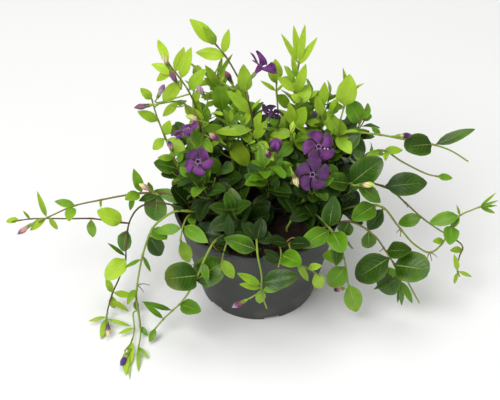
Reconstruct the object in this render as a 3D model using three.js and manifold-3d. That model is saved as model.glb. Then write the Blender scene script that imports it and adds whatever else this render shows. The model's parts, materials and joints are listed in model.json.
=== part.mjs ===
// A potted periwinkle with wine-purple flowers: a round plastic nursery pot, its soil, and a bushy
// plant of leafy stems. Some stems stand up in the middle and others trail over the rim and hang
// down to the surface that the pot stands on. Millimetres, +Z up, the origin under the middle of
// the pot on that surface, and -Y towards the front.

import * as THREE from "three";
import { mergeVertices } from "three/addons/utils/BufferGeometryUtils.js";
import Module from "manifold-3d";

const wasm = await Module();
wasm.setup();

// Driving dimensions of the pot and the soil.
const POT_HEIGHT = 85;
const POT_RIM_RADIUS = 65;
const POT_BASE_RADIUS = 45;
const POT_WALL = 1.5;
const POT_SIDES = 30;
const RIM_BAND = [3, 0.8]; // height and step of the band round the rim
const FLOOR_UNDERSIDE = 3;
const FLOOR_TOP = 5;
const FOOT_RING_INNER = 37;
const CENTRE_PAD = 14;
const FOOT_NOTCH_WIDTH = 12.5;
const FOOT_NOTCH_LENGTH = 14;
const FOOT_NOTCH_CIRCLE = 42;
const DRAIN_RADIUS = 4;
const DRAIN_CIRCLE = 28;
const DRAINS = 6;
const FIRST_NOTCH_ANGLE = -76.5; // degrees from +X, so one notch is just right of the front
const SOIL_TOP = 78;
const SOIL_MOUND = 3;
const SOIL_LUMPS = 1.4;
const SOIL_SIDES = 24;
const GAP = 0.3; // between pieces that touch
const FOOT_DEPTH = 66; // the height at which every stem's foot ends, inside the soil

// Driving dimensions of the plant.
const LEAF_THICKNESS = 1; // at the midrib
const LEAF_CLEARANCE = 0.35;
const ROOT_OFFSET = 0.2; // of a leaf from the middle line of its stem
const BROAD = 12.5; // leaves wider than this have three stations along the blade
const SLIM = 8; // and leaves up to this have one
const LEAF_FOLD = 0.32; // how far the halves rise from the midrib, as a slope
const LEAF_TRIES = 12;
const STEM_SIDES = 3;
const STRETCH = 19; // the most that a stem runs straight
const SURFACE_CLEARANCE = 0.6;
const TUBE_LENGTH = 9;
const BUD_LENGTH = 11;
const CALYX_LENGTH = 2.6;

// The stems. The route lists the points that a stem passes through, root first. Leaves sit in
// opposite pairs from the share "from" of the length to the share "to", or close to the tip, and
// "leaf" gives the length and width of the first and of the last of them. A stem ends in one more
// pair, or, where "tip" is cut, without it.
// "marked" are single leaves: the share of the length, where the tip points to, and the width.
// "heads" are flowers and buds on stalks of their own: the share of the length, the middle of the
// mouth or bud, and the way it faces.
const STEMS = {
  left_long: {
    route: [[-34, 6], [-53, -14, 95], [-68, -8, 98], [-84, -8, 99], [-101, -10, 98], [-119, -13, 96],
      [-138, -16, 93], [-153, -20, 88], [-165, -22, 82]],
    from: 0.15, to: 0.2, pairs: 1, leaf: [24, 14, 12, 4], tone: 0.55, tip: "cut",
    marked: [
      [0.2, [-78, -10, 103], 9],
      [0.36, [-91, -8, 91], 6], [0.37, [-80, -8, 67], 17],
      [0.4, [-82, -8, 109], 4], [0.45, [-92, -8, 121], 7],
      [0.46, [-98, -20, 104], 8], [0.49, [-98, -9, 80], 4], [0.79, [-152, -16, 98], 6],
      [0.81, [-140, -32, 94], 8], [0.95, [-163, -21, 110], 4], [0.95, [-174, -21, 72], 5],
      [0.94, [-151, -20, 71], 4],
    ],
  },
  left_hanging: {
    route: [[-43, -5], [-55, -18, 93], [-72, -13, 93], [-89, -9, 86], [-98, -11, 72], [-101, -18, 54],
      [-102, -22, 41]],
    from: 0.15, pairs: 1, leaf: [24, 16, 20, 10], tone: 0.15, tip: "cut",
    marked: [
      [0.75, [-106, -13, 40], 11], [0.98, [-116, -38, 38], 13],
    ],
    arms: [
      { at: 0.7, route: [[-112, -14, 75], [-124, -15, 79], [-143, -15, 79], [-172, -13, 77], [-187, -13, 74]],
        from: 1, pairs: 0, leaf: [0, 0, 0, 0], tone: 0.7,
        marked: [
          [0.06, [-122, -13, 83], 12], [0.33, [-127, -15, 57], 7], [0.93, [-195, -13, 72], 5],
        ] },
      { at: 1, route: [[-107, -29, 30], [-113, -37, 19], [-117, -47, 7], [-117, -56, 5]],
        from: 1, pairs: 0, leaf: [0, 0, 0, 0], tone: 0.8,
        marked: [
          [0.5, [-116, -36, 36], 5], [0.49, [-96, -36, 17], 5], [0.53, [-112, -37, 2], 6],
          [0.6, [-100, -39, 3], 4], [0.87, [-120, -67, 4], 5],
        ] },
    ],
  },
  left_falling: {
    route: [[-30, -14], [-50, -22, 93], [-62, -23, 94], [-72, -25, 88], [-79, -26, 80], [-86, -28, 61],
      [-90, -31, 45], [-93, -35, 28], [-94, -40, 16], [-92, -49, 7], [-90, -64, 5], [-91, -81, 5]],
    from: 0.1, to: 0.28, pairs: 1, leaf: [24, 16, 13, 5], tone: 0.35, tip: "cut",
    marked: [
      [0.15, [-35, -21, 108], 7], [0.35, [-69, -41, 84], 10], [0.39, [-73, -27, 50], 12],
      [0.68, [-103, -36, 10], 8], [0.73, [-95, -40, 4], 4], [0.86, [-85, -64, 3], 4],
    ],
    arms: [
      { at: 0.78, route: [[-96, -46, 10], [-95, -60, 5], [-97, -74, 5], [-101, -83, 6]],
        from: 1, pairs: 0, leaf: [0, 0, 0, 0], tone: 0.9,
        marked: [
          [0.69, [-97, -96, 4], 5],
        ] },
    ],
  },
  front_left_falling: {
    route: [[-20, -32], [-33, -56, 93], [-39, -63, 85], [-45, -66, 69], [-51, -65, 53], [-58, -63, 38],
      [-65, -61, 27], [-72, -61, 18], [-80, -64, 8]],
    from: 0.12, to: 0.35, pairs: 2, leaf: [24, 15, 14, 6], tone: 0.25, tip: "cut",
    marked: [
      [0.45, [-66, -80, 81], 20], [0.49, [-31, -66, 84], 20], [0.73, [-44, -75, 42], 11],
      [0.81, [-87, -62, 38], 4], [0.9, [-85, -62, 35], 4], [0.98, [-83, -72, 4], 5],
    ],
  },
  left_cluster: {
    route: [[-42, -20], [-52, -29, 95], [-56, -38, 92], [-58, -45, 83]],
    from: 1, pairs: 0, leaf: [24, 13, 17, 8], tone: 0.8, tip: "cut",
    marked: [
      [0.73, [-77, -38, 88], 8], [0.69, [-38, -54, 93], 10], [0.94, [-51, -43, 57], 9],
      [0.39, [-48, -39, 96], 6],
    ],
  },
  upper_left_outer: {
    route: [[-38, 16], [-50, -2, 104], [-58, -6, 118], [-64, -3, 134], [-69, -1, 149], [-74, 2, 165],
      [-77, 3, 180]],
    from: 0.1, to: 0.35, pairs: 2, leaf: [24, 13, 15, 6], tone: 0.65, tip: "cut",
    marked: [
      [0.99, [-84, 3, 189], 6], [0.82, [-87, 1, 170], 7],
      [0.71, [-65, -1, 162], 7], [0.69, [-79, -1, 135], 7],
      [0.68, [-54, -11, 144], 9], [0.53, [-74, -7, 133], 5], [0.44, [-76, -10, 131], 11],
    ],
  },
  upper_left_tall: {
    route: [[-24, 20], [-41, 15, 129], [-45, 14, 159], [-51, 11, 181], [-57, 14, 190], [-62, 17, 196],
      [-66, 20, 201]],
    from: 0.12, to: 0.42, pairs: 2, leaf: [26, 14, 18, 7], tone: 0.8, tip: "cut",
    marked: [
      [0.98, [-74, 43, 205], 6], [0.91, [-73, 16, 206], 7],
      [0.94, [-75, 17, 185], 6], [0.87, [-49, 13, 216], 8],
      [0.92, [-50, 16, 213], 7], [0.79, [-39, 12, 199], 9], [0.56, [-43, 14, 172], 6],
      [0.69, [-47, 12, 184], 5],
    ],
  },
  upper_left_mid: {
    route: [[-28, 8], [-40, -1, 127], [-41, 5, 152], [-49, 9, 165], [-58, 18, 165], [-69, 22, 161],
      [-75, 24, 158]],
    from: 0.12, to: 0.42, pairs: 2, leaf: [26, 14, 16, 7], tone: 0.65, tip: "cut",
    marked: [
      [0.96, [-57, 22, 181], 10], [0.84, [-72, 17, 152], 6], [0.8, [-46, 14, 150], 6],
      [0.75, [-39, 10, 155], 4], [0.56, [-54, 4, 134], 10], [0.53, [-48, -15, 143], 10],
      [0.39, [-27, 0, 111], 10],
    ],
  },
  top_whip: {
    route: [[-4, 14], [-4, 9, 127], [-4, 12, 145], [-6, 14, 161], [-10, 18, 174], [-18, 22, 191],
      [-24, 25, 201], [-33, 27, 213]],
    from: 0.1, to: 0.34, pairs: 2, leaf: [26, 13, 20, 9], tone: 0.8, tip: "cut",
    marked: [
      [0.98, [-48, 28, 231], 10], [0.91, [-22, 24, 224], 6], [0.89, [-45, 24, 206], 9],
      [0.97, [-38, 20, 229], 7], [0.66, [-11, 17, 198], 10], [0.54, [-22, 14, 178], 8],
      [0.44, [-33, 11, 143], 8], [0.44, [1, 11, 160], 6], [0.38, [0, 10, 158], 7],
    ],
  },
  top_left_shoot: {
    route: [[-12, 5], [-23, 15, 130], [-26, 23, 154], [-29, 29, 168], [-30, 32, 182]],
    from: 0.12, to: 0.6, pairs: 3, leaf: [27, 14, 18, 7], tone: 0.7, tip: "cut",
    marked: [
      [0.71, [-30, 21, 176], 12], [0.86, [-39, 28, 179], 6], [0.88, [-38, 29, 189], 6],
      [0.9, [-30, 30, 190], 5], [0.5, [-39, 16, 144], 10], [0.47, [-7, 15, 105], 13],
    ],
  },
  top_center_shoot: {
    route: [[8, 20], [14, 16, 132], [14, 20, 156], [13, 26, 168], [13, 29, 180]],
    from: 0.12, to: 0.5, pairs: 2, leaf: [26, 13, 20, 8], tone: 0.7, tip: "cut",
    marked: [
      [0.96, [12, 28, 195], 9], [0.94, [8, 27, 189], 5], [0.86, [24, 25, 153], 8], [0.57, [5, 17, 127], 8],
    ],
  },
  top_tuft: {
    route: [[20, 22], [25, 12, 134], [28, 17, 163], [27, 21, 176], [28, 24, 187], [29, 26, 197]],
    from: 0.12, to: 0.68, pairs: 3, leaf: [26, 13, 20, 8], tone: 0.9, tip: "cut",
    marked: [
      [0.97, [17, 26, 219], 4], [0.99, [25, 30, 223], 5], [0.98, [32, 24, 227], 5], [0.96, [40, 24, 217], 5],
      [0.79, [14, 20, 186], 7], [0.87, [24, 23, 202], 4], [0.83, [19, 21, 195], 4], [0.77, [33, 19, 197], 7],
      [0.54, [33, 10, 165], 11], [0.54, [22, 13, 169], 7], [0.5, [8, 13, 138], 8], [0.45, [41, 12, 122], 8],
    ],
  },
  top_right_shoot: {
    route: [[29, 11], [44, 12, 122], [47, 19, 142], [47, 23, 155], [48, 26, 165]],
    from: 0.12, to: 0.7, pairs: 3, leaf: [26, 13, 19, 8], tone: 0.85, tip: "cut",
    marked: [
      [0.9, [48, 24, 177], 7], [0.8, [42, 21, 168], 7], [0.76, [67, 20, 137], 11], [0.74, [35, 18, 146], 6],
    ],
  },
  top_right_leafy: {
    route: [[36, 20], [56, 12, 126], [60, 14, 151], [63, 18, 163], [65, 20, 174]],
    from: 0.12, to: 0.6, pairs: 3, leaf: [26, 13, 20, 9], tone: 0.7, tip: "cut",
    marked: [
      [0.86, [66, 17, 189], 14], [0.62, [67, -6, 137], 10],
    ],
  },
  right_dark_leaf: {
    route: [[43, 10], [66, 19, 120], [73, 19, 138], [77, 21, 147], [81, 24, 152]],
    from: 0.12, to: 0.45, pairs: 2, leaf: [26, 15, 20, 11], tone: 0.3, tip: "cut",
    marked: [
      [0.87, [67, 21, 162], 13], [0.91, [82, 22, 154], 4], [0.66, [81, 19, 111], 11],
    ],
  },
  right_cut: {
    route: [[33, -2], [53, 6, 126], [67, 9, 142], [85, 4, 146], [109, 2, 142], [127, 2, 138], [141, 1, 133],
      [155, -1, 124]],
    from: 0.12, to: 0.4, pairs: 2, leaf: [26, 14, 20, 10], tone: 0.2, tip: "cut",
    marked: [
      [0.42, [80, 4, 129], 9], [0.57, [83, 13, 146], 4], [0.48, [59, 7, 128], 10],
      [0.81, [107, -9, 146], 16], [0.82, [157, 2, 153], 8],
    ],
  },
  right_arching: {
    route: [[42, -10], [69, 6, 110], [83, 7, 126], [93, 4, 130], [106, 4, 120], [126, 2, 109], [136, 2, 106]],
    from: 0.15, to: 0.5, pairs: 2, leaf: [25, 14, 13, 5], tone: 0.55, tip: "cut",
    marked: [
      [0.57, [77, 5, 122], 6], [0.59, [107, 5, 130], 6], [0.61, [93, -7, 131], 4], [0.98, [146, 2, 105], 5],
    ],
  },
  right_long_dark: {
    route: [[31, -18], [60, -5, 96], [76, 1, 103], [88, 2, 99], [100, 2, 93], [112, -1, 82], [125, -3, 69],
      [139, -5, 58], [151, -7, 51]],
    from: 0.15, pairs: 1, leaf: [25, 15, 17, 8], tone: 0.25, tip: "cut",
    marked: [
      [0.5, [127, 2, 101], 17], [0.78, [107, -3, 63], 10],
    ],
    arms: [
      { at: 0.98, route: [[158, -9, 44], [156, -12, 37], [154, -18, 30], [156, -23, 25]],
        from: 1, pairs: 0, leaf: [0, 0, 0, 0], tone: 0.8,
        marked: [
          [0.41, [148, -17, 48], 5], [0.88, [151, -20, 45], 4],
        ] },
    ],
  },
  right_rising: {
    route: [[45, -23], [70, -18, 94], [92, -16, 92], [104, -23, 80], [117, -29, 66], [129, -33, 61],
      [138, -29, 66], [144, -22, 76], [150, -18, 84], [162, -14, 88], [172, -11, 90]],
    from: 0.12, pairs: 1, leaf: [23, 13, 14, 5], tone: 0.45, tip: "cut",
    marked: [
      [0.28, [70, -36, 99], 14], [0.32, [82, -17, 67], 11], [0.72, [131, -32, 72], 5],
      [0.8, [142, -41, 79], 11], [0.86, [128, -19, 79], 10], [0.86, [145, -18, 71], 5],
    ],
  },
  right_falling: {
    route: [[36, -36], [66, -34, 94], [85, -38, 84], [93, -42, 74], [100, -44, 62], [106, -46, 48],
      [109, -49, 37]],
    from: 0.12, pairs: 1, leaf: [24, 16, 22, 16], tone: 0.1, tip: "cut",
    marked: [
      [0.3, [62, -38, 84], 11], [0.45, [83, -37, 67], 11],
      [0.65, [110, -54, 85], 12], [0.78, [125, -57, 67], 22],
      [0.71, [72, -43, 42], 20], [0.84, [93, -45, 28], 17], [0.92, [111, -47, 14], 4],
      [0.92, [114, -47, 23], 5], [0.88, [94, -46, 58], 5], [0.89, [87, -46, 34], 4],
    ],
    arms: [
      { at: 0.72, route: [[108, -46, 52], [116, -50, 38], [122, -53, 27]],
        from: 1, pairs: 0, leaf: [0, 0, 0, 0], tone: 0, tip: "cut" },
    ],
  },
  right_low: {
    route: [[48, -14], [60, -12, 104], [68, -13, 113], [80, -18, 114]],
    from: 0.2, pairs: 1, leaf: [25, 15, 20, 10], tone: 0.25, tip: "cut",
    marked: [
      [0.74, [88, -16, 138], 19], [0.71, [50, -24, 126], 13], [0.82, [93, -15, 95], 10],
      [0.98, [85, -18, 108], 5],
    ],
  },
  front_right_falling: {
    route: [[21, -29], [33, -26, 104], [43, -35, 101], [54, -43, 92], [60, -48, 81], [65, -50, 62],
      [67, -54, 47]],
    from: 0.12, to: 0.6, pairs: 2, leaf: [24, 13, 19, 9], tone: 0.65, tip: "cut",
    marked: [
      [0.51, [30, -61, 95], 13], [0.53, [60, -66, 96], 14], [0.49, [54, -41, 123], 13],
      [0.76, [48, -55, 80], 10], [0.84, [55, -54, 42], 14],
      [0.98, [76, -56, 17], 13], [0.32, [23, -43, 105], 10],
    ],
  },
  front_hanging: {
    route: [[-3, -34], [-2, -50, 96], [-1, -66, 91], [2, -69, 72], [2, -71, 57], [6, -72, 41]],
    from: 0.3, to: 0.6, pairs: 1, leaf: [24, 13, 20, 9], tone: 0.75, tip: "cut",
    marked: [
      [0.2, [9, -61, 100], 10], [0.39, [-24, -63, 105], 12], [0.74, [-15, -70, 76], 6],
      [0.77, [-14, -71, 66], 5], [0.77, [-1, -71, 40], 7], [0.72, [28, -72, 76], 14], [0.8, [20, -72, 66], 6],
    ],
  },
  front_center_right: {
    route: [[9, -43], [14, -56, 95], [16, -66, 91], [14, -70, 82]],
    from: 1, pairs: 0, leaf: [28, 17, 24, 13], tone: 0.15, tip: "cut",
    marked: [
      [0.75, [28, -84, 101], 13], [0.87, [4, -67, 97], 6], [0.91, [3, -68, 91], 5],
    ],
  },
  front_right_small: {
    route: [[25, -44], [22, -60, 94], [28, -67, 84], [36, -67, 78], [45, -66, 69]],
    from: 0.3, to: 0.6, pairs: 1, leaf: [20, 10, 11, 5], tone: 0.85, tip: "cut",
    marked: [
      [0.58, [38, -65, 60], 5], [0.89, [47, -66, 54], 9], [0.76, [45, -70, 84], 5],
    ],
  },
  front_left_small: {
    route: [[-13, -44], [-22, -56, 96], [-26, -66, 90], [-28, -70, 78]],
    from: 0.3, pairs: 1, leaf: [22, 12, 18, 8], tone: 0.6, tip: "cut",
    marked: [
      [0.39, [-22, -54, 118], 7], [0.77, [-26, -68, 66], 8],
    ],
  },
  back_left: {
    route: [[-26, 34], [-40, 52, 98], [-52, 66, 90], [-58, 76, 68], [-60, 82, 44], [-58, 88, 24]],
    from: 0.15, pairs: 3, leaf: [26, 15, 16, 7], tone: 0.35,
  },
  back_middle: {
    route: [[4, 36], [6, 56, 100], [4, 74, 92], [2, 84, 70], [4, 92, 46], [8, 98, 22], [10, 106, 6]],
    from: 0.15, pairs: 4, leaf: [26, 15, 14, 6], tone: 0.35,
  },
  back_right: {
    route: [[30, 32], [46, 48, 100], [62, 58, 92], [72, 66, 74], [78, 74, 54], [84, 80, 36]],
    from: 0.15, pairs: 3, leaf: [26, 15, 16, 7], tone: 0.35,
  },
  back_upright: {
    route: [[-6, 30], [-12, 42, 106], [-18, 50, 124], [-20, 56, 138]],
    from: 0.1, pairs: 3, leaf: [27, 15, 19, 8], tone: 0.5,
  },
  crown_left: {
    route: [[-22, -8], [-30, -18, 96], [-37, -24, 110], [-41, -26, 124]],
    from: 0.45, pairs: 4, leaf: [25, 14, 20, 10], tone: 0.25,
  },
  crown_front: {
    route: [[-6, -22], [-10, -34, 94], [-16, -42, 104], [-19, -46, 116]],
    from: 0.1, to: 0.93, pairs: 5, leaf: [27, 16, 20, 10], tone: 0.2,
    marked: [
      [0.26, [-21, -31, 110], 12], [0.11, [7, -25, 105], 12],
    ],
  },
  crown_middle: {
    route: [[4, -6], [8, -12, 104], [6, -20, 122], [4, -24, 138]],
    from: 0.1, pairs: 4, leaf: [27, 15, 20, 9], tone: 0.45,
  },
  crown_right: {
    route: [[20, -12], [28, -20, 98], [37, -28, 112], [42, -30, 124]],
    from: 0.1, pairs: 5, leaf: [27, 16, 20, 10], tone: 0.25,
  },
  crown_back: {
    route: [[16, 34], [26, 40, 104], [34, 46, 124], [38, 50, 138]],
    from: 0.1, to: 0.7, pairs: 3, leaf: [27, 15, 19, 8], tone: 0.5, tip: "cut",
  },
};

// The flowers and buds: the stem that carries each, the share of its length where the stalk leaves
// it, the middle of the mouth or of the bud, and the way it faces. An arm of a stem is numbered.
const BLOOMS = {
  bloom_top: {
    stem: "top_whip", at: 0.62, centre: [1, 14, 200],
    facing: [0.6, 0.2, 0.77], radius: 13, flare: 0.5,
  },
  bloom_top_back: {
    stem: "top_center_shoot", at: 0.6, centre: [9.5, 8, 163],
    facing: [0.4, 0.85, 0.2], radius: 9, flare: 0.3,
  },
  bloom_left_side: {
    stem: "upper_left_mid", at: 0.5, centre: [-53, -6, 158],
    facing: [-0.45, 0.25, 0.85], radius: 11.5, flare: 0.15,
  },
  bloom_left: {
    stem: "crown_left", at: 0.93, centre: [-44, -20, 140],
    facing: [-0.1, -0.75, 0.6], radius: 10.5, flare: 0.1,
  },
  bloom_right_high: {
    stem: "top_right_shoot", at: 0.5, centre: [43.5, -8, 144],
    facing: [0.15, -0.7, 0.7], radius: 12.5, flare: 0.05,
  },
  bloom_right_low: {
    stem: "crown_right", at: 0.9, centre: [38.5, -32, 138],
    facing: [-0.1, -0.8, 0.6], radius: 12.5, flare: 0.05,
  },
  bloom_half_open: {
    stem: "crown_middle", at: 0.95, centre: [12.5, -14, 148],
    facing: [-0.1, -0.1, 1], radius: 5, flare: 2,
  },
};
const BUDS = {
  bud_top_left: {
    stem: "upper_left_tall", at: 0.96, centre: [-67, 14, 207],
    facing: [-0.3, 0, 1], green: true,
  },
  bud_left_1: { stem: "upper_left_tall", at: 0.86, centre: [-61, 6, 197], facing: [-0.4, 0, 0.9] },
  bud_left_2: { stem: "upper_left_tall", at: 0.76, centre: [-70, 6, 185], facing: [0.4, 0, 0.9] },
  bud_left_3: { stem: "upper_left_outer", at: 0.93, centre: [-84, 0, 175], facing: [-1, 0, -0.2] },
  bud_left_4: { stem: "upper_left_outer", at: 0.6, centre: [-64, -14, 150], facing: [-0.2, -0.2, 0.95] },
  bud_left_5: { stem: "upper_left_mid", at: 0.55, centre: [-32, -8, 153], facing: [-0.7, -0.1, 0.7] },
  bud_left_6: {
    stem: "upper_left_mid", at: 0.6, centre: [-48, 4, 161],
    facing: [-0.9, 0.0, 0.4], green: true,
  },
  bud_left_7: { stem: "left_long", at: 0.4, centre: [-84, -12, 108], facing: [-0.8, 0.0, 0.6], green: true },
  bud_top_1: { stem: "top_left_shoot", at: 0.93, centre: [-22, 14, 191], facing: [-0.4, 0, 0.9] },
  bud_top_2: { stem: "upper_left_tall", at: 0.55, centre: [-42, 6, 185], facing: [-0.4, -0.2, 0.9] },
  bud_top_right: { stem: "top_right_shoot", at: 0.75, centre: [40, -2, 169], facing: [-0.1, -0.75, 0.65] },
  bud_middle_1: {
    stem: "crown_middle", at: 0.8, centre: [7, -30, 155],
    facing: [0.6, -0.2, -0.8], green: true,
  },
  bud_middle_2: { stem: "top_tuft", at: 0.5, centre: [24, -8, 162], facing: [0.1, 0, 1], green: true },
  bud_middle_3: { stem: "crown_right", at: 0.6, centre: [26, -37, 137], facing: [0.3, -0.1, -0.9] },
  bud_right_1: { stem: "right_cut", at: 0.64, centre: [106, -5, 152], facing: [0.9, 0.3, -0.2] },
  bud_right_2: { stem: "right_low", at: 0.9, centre: [79, -26, 123], facing: [0.9, -0.3, 0.3] },
  bud_far_left: {
    stem: "left_hanging", arm: 0, at: 0.75, centre: [-177, -22, 74],
    facing: [-0.8, -0.3, -0.5],
  },
  bud_low_left: { stem: "left_hanging", arm: 1, at: 0.8, centre: [-115, -62, 7], facing: [0.1, -0.95, -0.2] },
  bud_lowest: { stem: "left_falling", arm: 0, at: 0.9, centre: [-101, -92, 6], facing: [-0.35, -0.93, 0] },
  bud_front: { stem: "front_hanging", at: 0.8, centre: [-15, -79, 53], facing: [-0.8, 0, -0.6] },
  bud_front_right: { stem: "front_right_falling", at: 0.9, centre: [59, -63, 52], facing: [-0.6, -0.6, 0.5] },
};

const vec = (x, y, z) => new THREE.Vector3(x, y, z);
const UP = vec(0, 0, 1);
const MARKED_FACE = vec(0, -0.6, 0.8); // the way a marked leaf's face is turned

// A run of numbers between 0 and 1 that is the same every time for the same seed.
function randomFrom(seed) {
  let state = seed;
  const next = () => (state = (state * 1664525 + 1013904223) % 4294967296) / 4294967296;
  for (let warm = 0; warm < 3; warm++) next();
  return next;
}

// Joins a geometry's shared vertices, drops what has collapsed, and turns it to face outwards.
function solidOf(geometry) {
  const bare = new THREE.BufferGeometry();
  bare.setAttribute("position", geometry.getAttribute("position"));
  bare.setIndex(geometry.getIndex());
  const merged = mergeVertices(bare, 1e-4);
  const at = merged.getAttribute("position").array;
  const faces = [];
  let volume = 0;
  for (let i = 0; i < merged.index.count; i += 3) {
    const [a, b, c] = merged.index.array.slice(i, i + 3);
    if (a === b || b === c || c === a) continue;
    faces.push(a, b, c);
    const [p, q, r] = [a, b, c].map((k) => vec(...at.slice(3 * k, 3 * k + 3)));
    volume += p.dot(q.cross(r));
  }
  if (volume < 0) faces.reverse();
  return new wasm.Manifold(
    new wasm.Mesh({ numProp: 3, vertProperties: at, triVerts: new Uint32Array(faces) }),
  );
}

function geometryOf(solid) {
  const { vertProperties, triVerts } = solid.getMesh();
  const geometry = new THREE.BufferGeometry();
  geometry.setAttribute("position", new THREE.BufferAttribute(vertProperties, 3));
  geometry.setIndex(new THREE.BufferAttribute(triVerts, 1));
  geometry.computeVertexNormals();
  return geometry;
}

// A closed skin through rings of points that all have as many points. The second half of each ring
// is split the other way, so the two faces of a thin blade are split into triangles alike.
function skin(rings) {
  const count = rings[0].length;
  const index = [];
  const quad = (a, b, c, d, turned) =>
    turned ? index.push(a, b, c, a, c, d) : index.push(a, b, d, b, c, d);
  for (let i = 0; i + 1 < rings.length; i++)
    for (let j = 0; j < count; j++) {
      const k = (j + 1) % count;
      const [low, high] = [i * count, (i + 1) * count];
      quad(low + j, low + k, high + k, high + j, j < count / 2);
    }
  const last = (rings.length - 1) * count;
  for (let j = 1; j + 1 < count; j++) {
    index.push(0, j + 1, j);
    index.push(last, last + j, last + j + 1);
  }
  const geometry = new THREE.BufferGeometry();
  const flat = rings.flat().flatMap((p) => [p.x, p.y, p.z]);
  geometry.setAttribute("position", new THREE.Float32BufferAttribute(flat, 3));
  geometry.setIndex(index);
  return solidOf(geometry);
}

// A smooth route through the points, cut into straight stretches of equal length.
function routeOf(points) {
  const curve = new THREE.CatmullRomCurve3(points);
  const fine = curve.getPoints(12 * (points.length - 1));
  const reached = [0];
  for (let i = 1; i < fine.length; i++)
    reached.push(reached[i - 1] + fine[i].distanceTo(fine[i - 1]));
  const length = reached.at(-1);
  const steps = Math.ceil(length / STRETCH);
  const joints = Array.from({ length: steps + 1 }, (_, k) => {
    const goal = (k / steps) * length;
    let i = 1;
    while (i < fine.length - 1 && reached[i] < goal) i++;
    return fine[i - 1].clone().lerp(fine[i], (goal - reached[i - 1]) / (reached[i] - reached[i - 1]));
  });
  const at = (share) => {
    const goal = Math.min(Math.max(share, 0), 1) * steps;
    const i = Math.min(Math.floor(goal), steps - 1);
    return joints[i].clone().lerp(joints[i + 1], goal - i);
  };
  const along = (share) => at(share + 0.03).sub(at(share - 0.03)).normalize();
  return { length, steps, at, along };
}

// A ring of points round a middle point, square to the way ahead.
function circle(centre, ahead, side, radius, sides) {
  const other = ahead.clone().cross(side);
  return Array.from({ length: sides }, (_, k) => {
    const turn = (2 * Math.PI * k) / sides;
    const out = side.clone().multiplyScalar(radius * Math.cos(turn));
    return out.addScaledVector(other, radius * Math.sin(turn)).add(centre);
  });
}

// A tapering rod along a route, with flat ends. A foot, if there is one, is a point straight below
// the start of the route.
function rod(route, thick, thin, sides, foot) {
  const side = vec(0, 1, 0);
  const rings = foot ? [circle(foot, UP, side, thick, sides)] : [];
  for (let i = 0; i <= route.steps; i++) {
    const share = i / route.steps;
    const ahead = route.along(share);
    side.addScaledVector(ahead, -side.dot(ahead)).normalize();
    rings.push(circle(route.at(share), ahead, side, thick + (thin - thick) * share, sides));
  }
  return skin(rings);
}

// A leaf blade with its root on the stem's middle line. It is thickest along its midrib, where it
// is folded a little, and it bends down towards its tip. The root is sunk in the stem: an upright
// edge on a broad leaf, and a point on a slim one.
function leafSolid(leaf, spare = 0, start = 0) {
  const { root, ahead, face, long, wide, bend } = leaf;
  const side = ahead.clone().cross(face);
  const broad = wide > BROAD;
  const stations = broad ? [0.26, 0.55, 0.82] : wide > SLIM ? [0.36, 0.72] : [0.45];
  const shape = broad ? [0.76, 1, 0.7] : wide > SLIM ? [1, 0.74] : [1];
  const half = LEAF_THICKNESS / 2 + spare;
  const ring = (share, width) => {
    const middle = root.clone().addScaledVector(ahead, long * share);
    middle.addScaledVector(face, -bend * long * share * share);
    const normal = face.clone().addScaledVector(ahead, 2 * bend * share).normalize();
    const edge = width / 2 + spare;
    const [left, right] = [-edge, edge].map((across) =>
      middle.clone().addScaledVector(side, across).addScaledVector(normal, edge * LEAF_FOLD),
    );
    const [over, under] = [half, -half].map((rise) => middle.clone().addScaledVector(normal, rise));
    return [left, over, right, under];
  };
  const first = root.clone().addScaledVector(ahead, long * start);
  const [, over, , under] = broad ? ring(start, 0) : [first, first, first, first];
  const end = root.clone().addScaledVector(ahead, long + spare);
  end.addScaledVector(face, -bend * long);
  return skin([
    [over, over, under, under],
    ...stations.map((share, i) => ring(share, wide * shape[i])),
    [end, end, end, end],
  ]);
}

// The places that one leaf may take, the wanted one first. Each later one is turned further away
// from it, and the last ones are smaller.
function leafPlaces(leaf, seed) {
  const random = randomFrom(seed);
  const swing = () => random() - 0.5;
  return Array.from({ length: LEAF_TRIES }, (_, turn) => {
    const reach = (leaf.marked ? 0 : 0.24) + 0.16 * turn;
    const shift = vec(swing(), swing(), swing()).multiplyScalar(reach);
    const ahead = leaf.ahead.clone().add(shift).normalize();
    const face = leaf.face.clone();
    face.addScaledVector(ahead, -face.dot(ahead)).normalize();
    face.applyAxisAngle(ahead, swing() * ((leaf.marked ? 0 : 0.5) + 0.14 * turn));
    const size = 1 - 0.05 * Math.max(0, turn - 4);
    const bend = leaf.marked ? 0.12 : 0.05 + 0.3 * random();
    return { ...leaf, ahead, face, bend, long: leaf.long * size, wide: leaf.wide * size };
  });
}

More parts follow.
